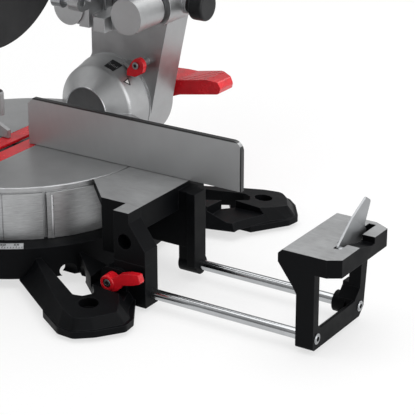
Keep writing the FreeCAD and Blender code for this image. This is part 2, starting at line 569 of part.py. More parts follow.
# Bevel arm: hub, leaning column and rail housing, hollow from behind
def make_bevel_arm():
    axis = d.table_height
    rise = float(d.rail_z)
    hub = rod("y", d.hub_size, d.dome_back + 0.3, d.arm_back, (0, axis))
    column = prism("xz", [(-50, axis + 8), (-38, axis + 30, 12), (-26, axis + 48, 10), (-26, rise - 10),
                          (76, rise - 10),
                          (64, axis + 51), (51.5, axis - 8)], d.arm_face, d.arm_back - 2)
    hollow = prism("xz", [(-16, axis + 58, 6), (-16, rise - 34, 6), (64, rise - 34, 6), (55, axis + 58, 6)],
                   d.arm_face + 6, d.arm_back)
    bosses = [rod("y", d.rail_boss, d.housing_front, d.housing_back, (x, d.rail_z)) for x in (d.rail_left,
                                                                                              d.rail_right)]
    web = box((d.rail_left, d.rail_right), (d.housing_front + 4, d.housing_back - 4),
              (d.rail_z - 18, d.rail_z + 10))
    scoop = rod("y", 16, d.housing_front, d.housing_back, (25, d.rail_z + 20))
    lock_boss = rod("x", 11, d.rail_right + 15, d.rail_right + 26,
                    ((d.housing_front + d.housing_back) * 0.5, d.rail_z))
    ear = rod("y", 4.5, d.dome_back - 8.7, d.dome_back + 14, (46.4, axis + 50.9))
    # A block over the dome reads the bevel scale.
    reader = moved(box((-5.5, 5.5), (d.dome_back - 8.3, d.arm_face + 4),
                       (d.hub_size + 0.3, d.hub_size + 4)),
                   at=(0, 0, float(axis)), turn=Rotation(Vector(0, 1, 0), 33))
    body = fuse(hub, column, *bosses, web, lock_boss, ear, reader)
    holes = [rod("y", d.rail_radius + d.bush_wall, d.housing_front - 1, d.housing_back + 1, (x, d.rail_z))
             for x in (d.rail_left, d.rail_right)]
    holes += [hollow, scoop, rod("y", d.pivot_radius + d.run_gap, d.dome_back, d.arm_back + 1, (0, axis)),
              rod("x", 4 + d.run_gap, d.rail_right + 10, d.rail_right + 30,
                  ((d.housing_front + d.housing_back) * 0.5, d.rail_z)),
              rod("y", 2.5, d.dome_back - 9, d.dome_back + 7, (46.4, axis + 50.9))]
    keep(cut(body, *holes), "bevel_arm")
    bushes = []
    for x in (d.rail_left, d.rail_right):
        for start in (d.housing_front + 1, d.housing_back - d.bush_length - 1):
            bushes.append(tube("y", d.rail_radius + d.bush_wall, d.rail_radius + d.run_gap, start,
                               start + d.bush_length, (x, d.rail_z)))
    keep(group(*bushes), "rail_bushes")


def make_bevel_levers():
    axis = d.table_height
    lever = prism("xz", [(0, 16), (44, 10.5, 10), (56, 8.2, 6), (94, 8.2, 3), (108, 5, 3), (111, -2, 3),
                         (107, -8.2, 3), (56, -8.2, 6), (44, -10.5, 10), (0, -16)], 0, 44)
    hub = fuse(rod("y", 20, 0, 44, (0, 0)), rod("y", 14, -3.7, 1, (0, 0)))
    bore = rod("y", d.pivot_radius + d.run_gap, -5, 45, (0, 0))
    waist = [box((40, 140), (-1, 3), (-30, 30)),
             prism("xy", [(88, 45), (88, 44), (112, 28), (130, 28), (130, 45)], -30, 30)]
    grooves = [moved(box((-1.2, 1.2), (-24, 24), (7.2, 9)), at=(x, 22, 0),
                     turn=Rotation(Vector(0, 0, 1), -40))
               for x in (72, 86, 100)]
    body = cut(fuse(lever, hub), bore, *waist, *grooves)
    turn = Rotation(Vector(0, 1, 0), -10)
    placed = group(body)
    placed.Placement = Placement(Vector(0, float(d.arm_back) + 4, float(axis)), turn)
    keep(placed, "bevel_lock_lever")
    front = d.dome_back - 15
    at = (46.4, axis + 50.9)
    stop = prism("xz", [(48, axis + 60.5, 6), (55.5, axis + 53, 7), (53.5, axis + 42.5, 7),
                        (44, axis + 37.5, 4),
                        (33, axis + 37.6, 1), (33.6, axis + 44, 1.5), (41, axis + 55, 9)], front, front + 6)
    keep(cut(stop, rod("y", 2.55, front - 1, front + 7, at)), "bevel_stop_lever")
    screw = fuse(rod("y", 2.5, front - 1, d.dome_back + 6, at), rod("y", 4, front - 3, front - 0.3, at))
    keep(cut(screw, rod("y", 1.6, front - 4, front - 1.4, at)), "bevel_stop_screw")


# Slide: two rails, front carriage, rear end piece
def make_slide():
    middle = (d.housing_front + d.housing_back) * 0.5
    rails = [rod("y", d.rail_radius, d.rail_front, d.rail_back, (x, d.rail_z)) for x in (d.rail_left,
                                                                                         d.rail_right)]
    keep(group(*rails), "slide_rails")
    sockets = [rod("y", d.rail_radius + 7, d.carriage_front, d.carriage_back,
                   (x, d.rail_z)) for x in (d.rail_left, d.rail_right)]
    web = box((d.rail_left, d.rail_right), (d.carriage_front + 8, d.carriage_back),
              (d.rail_z - 19, d.rail_z - 5))
    lug_line = [(d.carriage_front + 2, d.rail_z - 19), (d.carriage_back, d.rail_z - 19),
                (d.carriage_back, d.rail_z + 12),
                (d.chop_y + d.knuckle, d.chop_z - 4), (d.chop_y + d.knuckle, d.chop_z + d.knuckle, 15.5),
                (d.chop_y - d.knuckle, d.chop_z + d.knuckle, 15.5), (d.chop_y - d.knuckle, d.chop_z - 6)]
    lugs = [prism("yz", lug_line, d.knuckle_left - d.lug_thick - 0.5, d.knuckle_left - 0.5),
            prism("yz", lug_line, d.knuckle_right + 0.5, d.knuckle_right + 0.5 + d.lug_thick)]
    pin_at = (d.chop_y - 27, d.chop_z - 30)
    pin_boss = fuse(rod("x", 9, d.knuckle_left - d.lug_thick - 0.5, d.knuckle_left - 0.5, pin_at),
                    box((d.knuckle_left - d.lug_thick - 0.5, d.knuckle_left - 0.5),
                        (d.chop_y - 27, d.chop_y - 14), (d.chop_z - 39, d.chop_z - 21)))
    stop_pad = box((25, 39), (d.chop_y - 24, d.carriage_front + 12), (d.rail_z - 19, d.rail_z - 3.4))
    body = fuse(*sockets, web, *lugs, pin_boss, stop_pad)
    holes = [rod("y", d.rail_radius, d.carriage_front + 2, d.carriage_back + 1,
                 (x, d.rail_z)) for x in (d.rail_left, d.rail_right)]
    holes.append(rod("x", d.chop_pin, d.knuckle_left - 40, d.knuckle_right + 40, (d.chop_y, d.chop_z)))
    holes.append(rod("x", 4 + d.run_gap, d.knuckle_left - 40, d.knuckle_left, pin_at))
    keep(cut(body, *holes), "head_carriage")
    end = fuse(*[rod("y", d.rail_radius + 5, d.rail_back - 10, d.rail_back + 6,
                     (x, d.rail_z)) for x in (d.rail_left, d.rail_right)],
               box((d.rail_left, d.rail_right), (d.rail_back - 10, d.rail_back + 6),
                   (d.rail_z - 12, d.rail_z + 12)))
    keep(cut(end, *[rod("y", d.rail_radius, d.rail_back - 11, d.rail_back,
                        (x, d.rail_z)) for x in (d.rail_left, d.rail_right)]),
         "rail_end_piece")
    keep(fuse(rod("x", d.chop_pin, d.knuckle_left - d.lug_thick - 3, d.knuckle_right + d.lug_thick + 4,
                  (d.chop_y, d.chop_z)),
              rod("x", 9, d.knuckle_right + d.lug_thick + 0.5, d.knuckle_right + d.lug_thick + 5,
                  (d.chop_y, d.chop_z))),
         "chop_pivot_pin")
    pin = fuse(rod("x", 4, d.knuckle_left - 24, d.knuckle_left - 1, pin_at),
               rod("x", 8, d.knuckle_left - 36, d.knuckle_left - 24, pin_at))
    keep(pin, "head_lock_pin")
    knob = turned("x", [(0, 0), (9, 0), (9, 4), (16, 6, 2), (16, 22, 3), (0, 22)], (middle, d.rail_z),
                  d.rail_right + 26.5)
    shank = rod("x", 4, d.rail_right + d.rail_radius + 0.3, d.rail_right + 28, (middle, d.rail_z))
    keep(fuse(knob, shank), "rail_lock_knob")


# Head, drawn lowered: gear case and arm, guards, motor, handle
def head_solid():
    """The gear case with its arm, before its inner rooms are cut."""
    motor_at = (d.arbor_y + d.motor_dy, d.arbor_z + d.motor_dz)
    knuckle = rod("x", d.knuckle, d.knuckle_left + d.spring_room, d.knuckle_right, (d.chop_y, d.chop_z))
    arm = prism("yz", [(d.chop_y - 4, d.chop_z + 15.5), (d.chop_y - 8, d.chop_z - 13),
                       (d.arbor_y + 34, d.arbor_z - 2, 12),
                       (d.arbor_y + 10, d.arbor_z - 20), (d.arbor_y - 6, d.arbor_z + 60, 16),
                       (d.arbor_y + 60, d.arbor_z + 72, 16)], d.gearcase_left + 2, d.gearcase_right - 6)
    case = rod("x", d.gearcase_radius, d.gearcase_left, d.gearcase_right, (d.arbor_y, d.arbor_z))
    mount = rod("x", d.motor_radius, d.gearcase_left + 20, d.gearcase_right, motor_at)
    return fuse(knuckle, arm, case, mount)


def make_head():
    motor_at = (d.arbor_y + d.motor_dy, d.arbor_z + d.motor_dz)
    at = (d.arbor_y, d.arbor_z)
    pin_at = (d.chop_y - 27, d.chop_z - 30)
    nose = rod("x", d.shroud_hub - d.run_gap, 7, d.gearcase_left + 1, at)
    lock_boss = rod("x", 8, d.knuckle_left + 4, d.knuckle_left + 16, pin_at)
    tie = box((d.knuckle_left + 6, d.knuckle_left + 16), (d.chop_y - 33, d.chop_y - 21),
              (d.chop_z - 30, d.chop_z - 8))
    button_boss = rod("y", 7, d.arbor_y - 39, d.arbor_y - 25, (d.gearcase_right - 9.5, d.arbor_z))
    screw_boss = rod("z", 7, d.chop_z - 18, d.chop_z + 18, (32, d.chop_y - 16))
    body = fuse(head_solid(), nose, lock_boss, tie, button_boss, screw_boss)
    rooms = [rod("x", d.gear_radius + 2.5, d.gearcase_left + 3, d.gearcase_right - 5, at),
             rod("x", d.pinion_radius + 3, d.gearcase_left + 3, d.gearcase_right - 5, motor_at),
             rod("x", d.spindle_radius + d.run_gap, 0, d.gearcase_right - 2, at),
             rod("x", 4.2, d.gearcase_left + 1, d.gearcase_right + 5, motor_at),
             rod("x", d.chop_pin + d.run_gap, 0, 80, (d.chop_y, d.chop_z)),
             rod("x", 14.5, d.knuckle_left - 1, d.knuckle_left + d.spring_room, (d.chop_y, d.chop_z)),
             rod("x", 4.4, 10, d.knuckle_left + 14, pin_at),
             rod("y", 3 + d.run_gap, d.arbor_y - 45, d.arbor_y - 20, (d.gearcase_right - 9.5, d.arbor_z)),
             rod("z", 3, d.chop_z - 45, d.chop_z + 30, (32, d.chop_y - 16))]
    keep_head(cut(body, *rooms), "head_casting")
    stop = fuse(rod("z", 3, d.rail_z - 3.2, d.chop_z + 28, (32, d.chop_y - 16)),
                rod("z", 7, d.chop_z + 22, d.chop_z + 32, (32, d.chop_y - 16)),
                prism("xy", hexagon(6, (32, d.chop_y - 16)), d.chop_z + 18, d.chop_z + 22))
    keep_head(stop, "depth_stop_screw")
    button = fuse(rod("y", 3, d.arbor_y - 50, d.arbor_y - 8.5, (d.gearcase_right - 9.5, d.arbor_z)),
                  rod("y", 6.5, d.arbor_y - 52, d.arbor_y - 44, (d.gearcase_right - 9.5, d.arbor_z)))
    keep_head(button, "spindle_lock_button")


def make_return_spring():
    """Four close turns round the chop pivot, with a leg down to the carriage."""
    wire, coil = float(d.spring_wire), float(d.spring_coil)
    pitch = wire * 2 + 0.2
    helix = Part.makeHelix(pitch, pitch * 4, coil)
    ring = Part.Wire(Part.makeCircle(wire, Vector(coil, 0, 0), Vector(0, 1, pitch / (2 * math.pi * coil))))
    coilshape = Part.Wire(helix).makePipeShell([ring], True, True)
    leg = Part.makeCylinder(wire, 46.5, Vector(coil, 1.5, 0), Vector(0, -1, 0))
    end = Part.makeCylinder(wire, 11, Vector(coil, -1.5, pitch * 4), Vector(0, 1, 0))
    whole = coilshape.fuse([leg, end])
    # Local Z goes to the saw's X and local -Y points down to the carriage.
    whole.rotate(Vector(), Vector(0, 1, 0), 90)
    whole.rotate(Vector(), Vector(1, 0, 0), 90)
    whole.translate(Vector(float(d.knuckle_left) + wire + 0.4, float(d.chop_y), float(d.chop_z)))
    keep(solid_of(whole, "coil"), "return_spring")


def make_guards():
    y, z = d.arbor_y, d.arbor_z
    # Upper guard: a case open below, its rim stepping down to a lip at the front and back.
    outline = common(rod("x", d.guard_radius, d.guard_left, d.guard_right, (y, z)),
                     box((d.guard_left - 1, d.guard_right + 1), (y - 130, y + 130), (z - 6, z + 130)))
    room = rod("x", d.guard_radius - d.guard_wall, d.guard_left + d.guard_wall,
               d.guard_right - d.guard_wall, (y, z))
    # The dust port leans up and back; its duct opens into the case.
    lift = Rotation(Vector(1, 0, 0), 46)
    at = (-7.5, y + 92, z + 62)
    port = moved(fuse(rod("y", 21, 0, 46, (0, 0)), rod("y", 23, 40, 46, (0, 0))), at=at, turn=lift)
    bore = moved(fuse(rod("y", 18, 8, 50, (0, 0)), box((-4, 17), (-8, 9), (-14, 14))), at=at, turn=lift)
    hole = rod("x", d.shroud_hub + 1.2, 5, d.guard_right + 5, (y, z))
    window = rod("x", 26, d.guard_left - 5, d.guard_left + 6, (y, z))
    seat = rod("x", d.guard_radius - 1, d.guard_left, d.guard_right, (y, z))
    body = cut(fuse(outline, cut(port, seat)), room, hole, window, bore)
    keep_head(body, "upper_guard")
    # Lower guard: a thin half case round the blade, with a rim and a spoked left wall.
    half = d.shroud_half
    shell = cut(rod("x", d.shroud_radius, -half, half, (y, z)),
                rod("x", d.shroud_radius - d.shroud_wall, d.shroud_wall - half, half - d.shroud_wall,
                    (y, z)))
    sector = box((-20, 20), (y - 130, y + 130), (z - 130, z + 4))
    ring = rod("x", d.shroud_hub + 9, half - d.shroud_wall, half, (y, z))
    open_left = rod("x", 34, -half - 1, d.shroud_wall - half + 1, (y, z))
    hub_hole = rod("x", d.shroud_hub, half - 5, half + 1, (y, z))
    vents = [prism("yz", [(-100, -3, 2), (-46, -3, 2), (-46, 3, 2), (-100, 3, 2)], -half - 1,
                   d.shroud_wall - half + 1)]
    slots = []
    for angle in (30, 60, 90, 120, 150):
        slots.append(moved(vents[0], at=(0, float(y), float(z)), turn=Rotation(Vector(1, 0, 0), angle)))
    guard = cut(fuse(common(shell, sector), ring), open_left, hub_hole, *slots)
    keep_head(guard, "lower_guard")


def blade_shape():
    radius, root = float(d.blade_radius), float(d.blade_radius - d.tooth_depth)
    points = []
    for tooth in range(BLADE_TEETH):
        start = 2 * math.pi * tooth / BLADE_TEETH
        step = 2 * math.pi / BLADE_TEETH
        for share, reach in ((0.0, radius), (0.22, radius - 1.6), (0.62, root + 1.2), (0.86, root),
                             (0.96, root + 1.5)):
            angle = start + share * step
            points.append(Vector(0, -reach * math.cos(angle), reach * math.sin(angle)))
    wire = Part.makePolygon(points + [points[0]])
    plate = Part.Face(wire).extrude(Vector(float(d.blade_thick), 0, 0))
    plate.translate(Vector(-float(d.blade_thick) / 2, float(d.arbor_y), float(d.arbor_z)))
    bore = Part.makeCylinder(float(d.blade_bore), 10, Vector(-5, float(d.arbor_y), float(d.arbor_z)),
                             Vector(1, 0, 0))
    plate = plate.cut(bore)
    for slot in range(4):
        angle = math.radians(90 * slot + 40)
        at = Vector(-5, float(d.arbor_y) + 70 * math.cos(angle), float(d.arbor_z) + 70 * math.sin(angle))
        plate = plate.cut(Part.makeCylinder(7, 10, at, Vector(1, 0, 0)))
    return plate


def gear_shape(teeth, module, start, end, centre_y, centre_z, bore, phase):
    """A spur gear with straight-flanked teeth and a little backlash."""
    pitch = teeth * module / 2
    points = []
    for tooth in range(teeth):
        middle = phase + 2 * math.pi * tooth / teeth
        for reach, half in ((pitch - 1.15 * module, 0.30), (pitch, 0.235), (pitch + 0.85 * module, 0.11)):
            points.append((reach, middle - half * 2 * math.pi / teeth))
        for reach, half in ((pitch + 0.85 * module, 0.11), (pitch, 0.235), (pitch - 1.15 * module, 0.30)):
            points.append((reach, middle + half * 2 * math.pi / teeth))
    corners = [Vector(0, centre_y - r * math.cos(a), centre_z + r * math.sin(a)) for r, a in points]
    wheel = Part.Face(Part.makePolygon(corners + [corners[0]])).extrude(Vector(end - start, 0, 0))
    wheel.translate(Vector(start, 0, 0))
    hole = Part.makeCylinder(bore, end - start + 2, Vector(start - 1, centre_y, centre_z), Vector(1, 0, 0))
    return wheel.cut(hole) if bore > 0 else wheel


def make_drive():
    y, z = d.arbor_y, d.arbor_z
    motor_y, motor_z = d.arbor_y + d.motor_dy, d.arbor_z + d.motor_dz
    keep_head(solid_of(blade_shape(), "toothed_plate"), "saw_blade")
    face = d.gearcase_left + 7
    cross_hole = rod("y", 3.4, y - 10, y + 10, (d.gearcase_right - 9.5, z))
    spindle = fuse(rod("x", d.spindle_radius, -10, d.gearcase_right - 3, (y, z)),
                   rod("x", 12, 3, 6.7, (y, z)))
    keep_head(cut(spindle, cross_hole), "arbor_spindle")
    inner = cut(fuse(rod("x", 22, 1, 3, (y, z)), rod("x", d.blade_bore, -0.7, 1, (y, z))),
                rod("x", d.spindle_radius, -2, 4, (y, z)))
    outer = tube("x", 22, d.spindle_radius, -3.6, -0.95, (y, z))
    keep_head(group(inner, outer), "blade_flanges")
    head = prism("yz", hexagon(9, (y, z)), -16, -10)
    bolt = fuse(head, tube("x", 11, d.spindle_radius, -10, -3.6, (y, z)))
    keep_head(bolt, "blade_bolt")
    pitch = math.hypot(float(d.motor_dy), float(d.motor_dz))
    line = math.atan2(float(d.motor_dz), -float(d.motor_dy))
    module = 2 * pitch / 51
    wheel = gear_shape(42, module, float(face), float(face + d.gear_face), float(y), float(z),
                       float(d.spindle_radius), line)
    keep_head(solid_of(wheel, "wheel"), "spindle_gear")
    pinion = gear_shape(9, module, float(face), float(face + d.gear_face), float(motor_y), float(motor_z),
                        0, line + math.pi + math.pi / 9)
    fan_blades = []
    for angle in range(0, 360, 45):
        gap = box((d.gearcase_right + 5, d.gearcase_right + 14), (10, 40), (-1.6, 6))
        fan_blades.append(moved(gap, at=(0, motor_y, motor_z), turn=Rotation(Vector(1, 0, 0), angle)))
    fan = cut(rod("x", 36, d.gearcase_right + 6, d.gearcase_right + 16, (motor_y, motor_z)), *fan_blades)
    armature = fuse(solid_of(pinion, "pinion"), fan,
                    rod("x", 3.9, face + d.gear_face - 1, d.motor_end + 4, (motor_y, motor_z)),
                    rod("x", 25, 82, 132, (motor_y, motor_z)), rod("x", 13, 140, 156, (motor_y, motor_z)))
    keep_head(armature, "motor_armature")
    bore = d.motor_radius - d.motor_wall
    shell = tube("x", d.motor_radius, bore, d.gearcase_right, d.motor_end, (motor_y, motor_z))
    brush_holes = rod("y", 7, motor_y - 60, motor_y + 60, (148, motor_z))
    louvres = []
    for x in (60, 65, 70, 75):
        for side in (60, 0, -60, 180, 120):
            slit = box((x, x + 2.4), (-13, 13), (d.motor_radius - 8, d.motor_radius + 5))
            louvres.append(moved(slit, at=(0, motor_y, motor_z), turn=Rotation(Vector(1, 0, 0), side)))
    keep_head(cut(shell, brush_holes, *louvres), "motor_housing")
    keep_head(tube("x", bore, 25.6, 84, 130, (motor_y, motor_z)), "motor_stator")
    caps = []
    for side in (1, -1):
        reach = sorted((motor_y + side * (bore - 1), motor_y + side * (d.motor_radius + 3)), key=float)
        brush = sorted((motor_y + side * 13.3, motor_y + side * (bore - 1)), key=float)
        slot = sorted((motor_y + side * (d.motor_radius + 1.5), motor_y + side * (d.motor_radius + 4)),
                      key=float)
        cap = cut(rod("y", 7, reach[0], reach[1], (148, motor_z)),
                  box((141, 155), (slot[0], slot[1]), (motor_z - 1, motor_z + 1)))
        caps.append(fuse(cap, rod("y", 4, brush[0], brush[1], (148, motor_z))))
    keep_head(group(*caps), "brush_caps")
    end = d.motor_end
    cap = turned("x", [(0, 0), (d.motor_radius, 0), (d.motor_radius, 8),
                       (d.motor_radius - 8, d.cap_length, 6),
                       (0, d.cap_length)], (motor_y, motor_z), end)
    vents = []
    for angle in range(0, 360, 30):
        slit = box((end + 3, end + 30), (16, 34), (-1.8, 1.8))
        vents.append(moved(slit, at=(0, motor_y, motor_z), turn=Rotation(Vector(1, 0, 0), angle)))
    hollow = rod("x", bore, end - 1, end + 5, (motor_y, motor_z))
    post = rod("x", 11, end, end + 12, (motor_y, motor_z))
    room = rod("x", 8, end - 1, end + 5, (motor_y, motor_z))
    keep_head(cut(fuse(cut(cap, hollow), post), room, *vents), "motor_end_cover")
    keep_head(tube("x", 8, 3.95, end, end + 5, (motor_y, motor_z)), "rear_bearing")
    gland = turned("y", [(4, 0), (11, 0), (11, 3), (8, 4), (8, 16, 2), (4, 16)], (70, motor_z),
                   motor_y + d.motor_radius - 0.8)
    keep_head(cut(gland, rod("x", d.motor_radius, 0, 150, (motor_y, motor_z))), "cord_inlet")


def handle_outline(left, right):
    """The whole handle's outline, before its grip hole; the carry handle seats against it too."""
    y, z = d.arbor_y, d.arbor_z
    return prism("yz", [(y - 18, z + 24, 4), (y - 92, z + 26, 12), (y - 132, z + 52, 14),
                        (y - 132, z + 104, 18),
                        (y - 96, z + 124, 16), (y - 26, z + 96, 12), (y - 4, z + 66, 4)], left, right)


def make_handle():
    y, z = d.arbor_y, d.arbor_z
    left, right = d.gearcase_left + 3, d.gearcase_right - 7
    outline = handle_outline(left, right)
    grip_hole = prism("yz", [(y - 40, z + 50, 8), (y - 90, z + 50, 8), (y - 104, z + 62, 8),
                             (y - 104, z + 90, 9),
                             (y - 88, z + 96, 10), (y - 40, z + 76, 10)], left - 5, right + 5)
    trigger_slot = box((left + 8, right - 8), (y - 125, y - 100), (z + 61, z + 89))
    button_hole = rod("x", 5.05, right - 12, right + 2, (y - 115, z + 99))
    keep_head(cut(outline, grip_hole, trigger_slot, button_hole, head_solid()), "handle_grip")
    trigger = prism("yz", [(y - 118, z + 61.4, 2), (y - 103, z + 61.4, 4), (y - 96, z + 68, 6),
                           (y - 97, z + 76, 10),
                           (y - 96, z + 84, 6), (y - 103, z + 88.6, 4), (y - 118, z + 88.6, 2)], left + 8.4,
                           right - 8.4)
    keep_head(trigger, "trigger")
    button = turned("x", [(0, 0), (5, 0), (5, 13, 1), (0, 13)], (y - 115, z + 99), right - 8)
    keep_head(button, "lock_off_button")
    top = z + d.guard_radius
    bar = prism("yz", [(y + 36, z + 66), (y + 26, top - 8, 6), (y + 26, top + 20, 9), (y - 40, top + 20, 9),
                       (y - 40, z + 90, 5), (y - 26, z + 82, 5), (y - 26, top + 6, 5), (y + 12, top + 6, 5),
                       (y + 12, z + 66)],
                left + 2, right - 2)
    keep_head(cut(bar, head_solid(), handle_outline(left - 1, right + 1)), "carry_handle")


# Right-hand extension; the left one is its mirror image
def make_extensions():
    top = d.table_height
    front, rear = d.frame_front, d.rod_rear + 13
    low = d.frame_foot
    # Upright frame, seen along X: two legs, bottom bar and top bar with the opening between them.
    outline = prism("yz", [(front, low, 3), (d.rod_rear, low), (rear - 5, low + 8), (rear, 56), (rear, top),
                           (front, top)],
                    d.leg_inner, d.leg_outer)
    # The rear leg is thinner, and the bottom bar's top falls away inward.
    rear_thin = box((d.leg_inner - 1, d.leg_inner + 6), (d.rod_rear - 14, rear + 1),
                    (36, top - d.bar_height))
    fall = prism("xz", [(d.leg_outer - 2, 23.5), (d.leg_inner - 1, 23.5), (d.leg_inner - 1, 7)],
                 front + 12, d.rod_rear - 8)
    outline = cut(outline, rear_thin, fall)
    opening = prism("yz", [(front + 9, 23, 5), (d.rod_rear - 10, 23), (d.rod_rear, 33),
                           (d.rod_rear + 3, top - d.bar_height),
                           (front + 9, top - d.bar_height)], d.leg_inner - 20, d.leg_outer + 30)
    bar = prism("xy", [(d.leg_inner - 1, front), (d.frame_outer - 11.5, front),
                       (d.frame_outer, front + 7.5),
                       (d.frame_outer, rear - 8), (d.frame_outer - 15, rear), (d.leg_inner - 1, rear)],
                top - d.bar_height, top)
    shelf = box((d.shelf_inner, d.leg_inner + 1), (front, rear), (top - 8, top))
    gussets = [prism("xz", [(d.shelf_inner, top), (d.shelf_inner - 4, top - 4),
                            (d.shelf_inner - 4, top - 12),
                            (leg - 3.5, top - 33), (leg, top - 39), (leg + 1, top)], y0, y0 + 8)
               for y0, leg in ((front, d.leg_inner), (rear - 8, d.leg_inner + 6))]
    collar = rod("x", 10, d.leg_inner - 6, d.leg_inner + 7, (d.rod_rear, d.rod_z))
    body = fuse(outline, bar, shelf, *gussets, collar)
    finger_dip = prism("yz", [(-62, top + 1), (-58, top - 1), (-38, top - 6), (-32, top - 6),
                              (-32, top + 1)], d.slot_left - 3, d.frame_outer + 1)
    flap_slot = box((d.slot_left, d.slot_right), (d.stop_pivot_y - 7, rear - 6),
                    (top - d.bar_height - 1, top + 1))
    bores = [rod("x", d.rod_radius, d.leg_inner - 10, d.rod_end, (y, d.rod_z)) for y in (d.rod_front,
                                                                                         d.rod_rear)]
    seats = [rod("x", 5.2, d.rod_end, d.leg_outer + 1, (y, d.rod_z)) for y in (d.rod_front, d.rod_rear)]
    pin_hole = rod("x", 2, d.slot_left - 8, d.frame_outer - 6, (d.stop_pivot_y, top - d.stop_pivot_drop))
    underside = cut(box((d.leg_outer + 4, d.frame_outer - 5), (front + 14, rear - 12),
                        (top - d.bar_height - 1, top - 13)),
                    box((d.leg_outer, d.slot_right + 4), (d.stop_pivot_y - 10, rear), (0, top)))
    keep_sides(cut(body, opening, finger_dip, flap_slot, *bores, *seats, pin_hole, underside), "end_frame")
    rods = [rod("x", d.rod_radius, d.rod_inner_front, d.rod_end, (d.rod_front, d.rod_z)),
            rod("x", d.rod_radius, d.rod_inner_rear, d.rod_end, (d.rod_rear, d.rod_z))]
    screws = [cut(rod("x", 5, d.rod_end, d.leg_outer + 0.8, (y, d.rod_z)),
                  prism("yz", hexagon(3.6, (y, d.rod_z)), d.leg_outer - 1, d.leg_outer + 2))
              for y in (d.rod_front, d.rod_rear)]
    pin = rod("x", 2, d.slot_left - 8, d.frame_outer - 7, (d.stop_pivot_y, top - d.stop_pivot_drop))
    keep_sides(group(*rods, *screws, pin), "extension_rods")
    # The stop is a pressed finger; it is drawn raised and folds back into its slot.
    pivot_z = top - d.stop_pivot_drop
    y0 = float(d.stop_pivot_y)
    z0 = float(pivot_z)
    sheet_at = d.slot_left + 0.8
    lower = prism("yz", [(y0 - 5, z0 - 2, 3), (y0 - 3, z0 + 5, 3), (y0 + 22.8, z0 + 23.7),
                         (y0 + 47.3, z0 + 6),
                         (y0 + 51.4, z0 + 3.2, 3), (y0 + 42.8, z0 - 3.7, 6), (y0 + 4, z0 - 4, 3)],
                  sheet_at, sheet_at + d.stop_sheet)
    upper = prism("yz", [(y0 + 22.8, z0 + 23.7), (y0 + 42.3, z0 + 38, 3), (y0 + 51, z0 + 32.4, 4),
                         (y0 + 45.7, z0 + 10), (y0 + 47.3, z0 + 6)], sheet_at, sheet_at + d.stop_sheet)
    # The finger is bent outward along a slanting line.
    bend = Rotation(Vector(0, 24.5, -17.7), 7)
    finger = fuse(lower, moved(upper, turn=bend, centre=(sheet_at, y0 + 22.8, z0 + 23.7)))
    barrel = rod("x", 4.5, d.slot_left + 0.6, d.slot_right - 0.6, (d.stop_pivot_y, pivot_z))
    bore = rod("x", 2 + d.run_gap, d.slot_left - 1, d.slot_right + 1, (d.stop_pivot_y, pivot_z))
    keep_sides(cut(fuse(finger, barrel), bore), "end_stop")
    # Clamp lever: ring round its screw, waisted neck and broad thumb blade.
    cx, cz = float(d.clamp_x), float(d.clamp_z)
    face = d.clamp_boss_front - 0.3
    hub = turned("y", [(0, 0), (8, 0), (7.4, -11, 1), (0, -11)], (0, 0))
    blade = prism("xz", [(0, 5.5), (9, 4, 4), (16, 7.5, 3), (27, 8, 6), (38, 6, 2), (38, -2.5, 2),
                         (28, -3.5, 6),
                         (17, -3, 4), (9, -8.5, 4), (3, -8.5, 3), (-4, -5)], -10, -3)
    lever = cut(fuse(hub, blade), rod("y", 3.1, -20, 2, (0, 0)), rod("y", 4.6, -20, -8, (0, 0)))
    placed = group(lever)
    placed.Placement = Placement(Vector(cx, float(face), cz), Rotation(Vector(0, 1, 0), -15))
    keep_sides(placed, "clamp_lever")
    screw = cut(fuse(rod("y", 3, face - 8.5, d.wing_front - 5, (d.clamp_x, d.clamp_z)),
                     rod("y", 4.3, face - 10.5, face - 8, (d.clamp_x, d.clamp_z))),
                rod("y", 1.7, face - 11, face - 8.6, (d.clamp_x, d.clamp_z)))
    keep_sides(screw, "clamp_screw")


def main():
    make_base()
    make_fences()
    make_turntable()
    make_mitre_lock()
    make_bevel_arm()
    make_bevel_levers()
    make_slide()
    make_head()
    make_guards()
    make_drive()
    make_handle()
    make_return_spring()
    make_extensions()
    doc.recompute()
    failed = [o.Label for o in doc.Objects if "Invalid" in o.State or "Error" in o.State]
    if failed:
        raise RuntimeError("failed objects: " + ", ".join(failed))
    os.makedirs("parts", exist_ok=True)
    for obj in PARTS:
        shape = obj.Shape
        if shape.isNull() or not shape.isValid() or not shape.Solids:
            raise RuntimeError("bad shape: " + obj.Label)
        shape.exportStep("parts/" + obj.Label + ".step")
        print(obj.Label, len(shape.Solids), [round(v, 1) for v in (
            shape.BoundBox.XMin, shape.BoundBox.XMax, shape.BoundBox.YMin, shape.BoundBox.YMax,
            shape.BoundBox.ZMin, shape.BoundBox.ZMax)])


main()
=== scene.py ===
import json
import math

import bmesh
import bpy
from bpy.props import FloatProperty, IntProperty, PointerProperty, StringProperty
from mathutils import Matrix, Vector


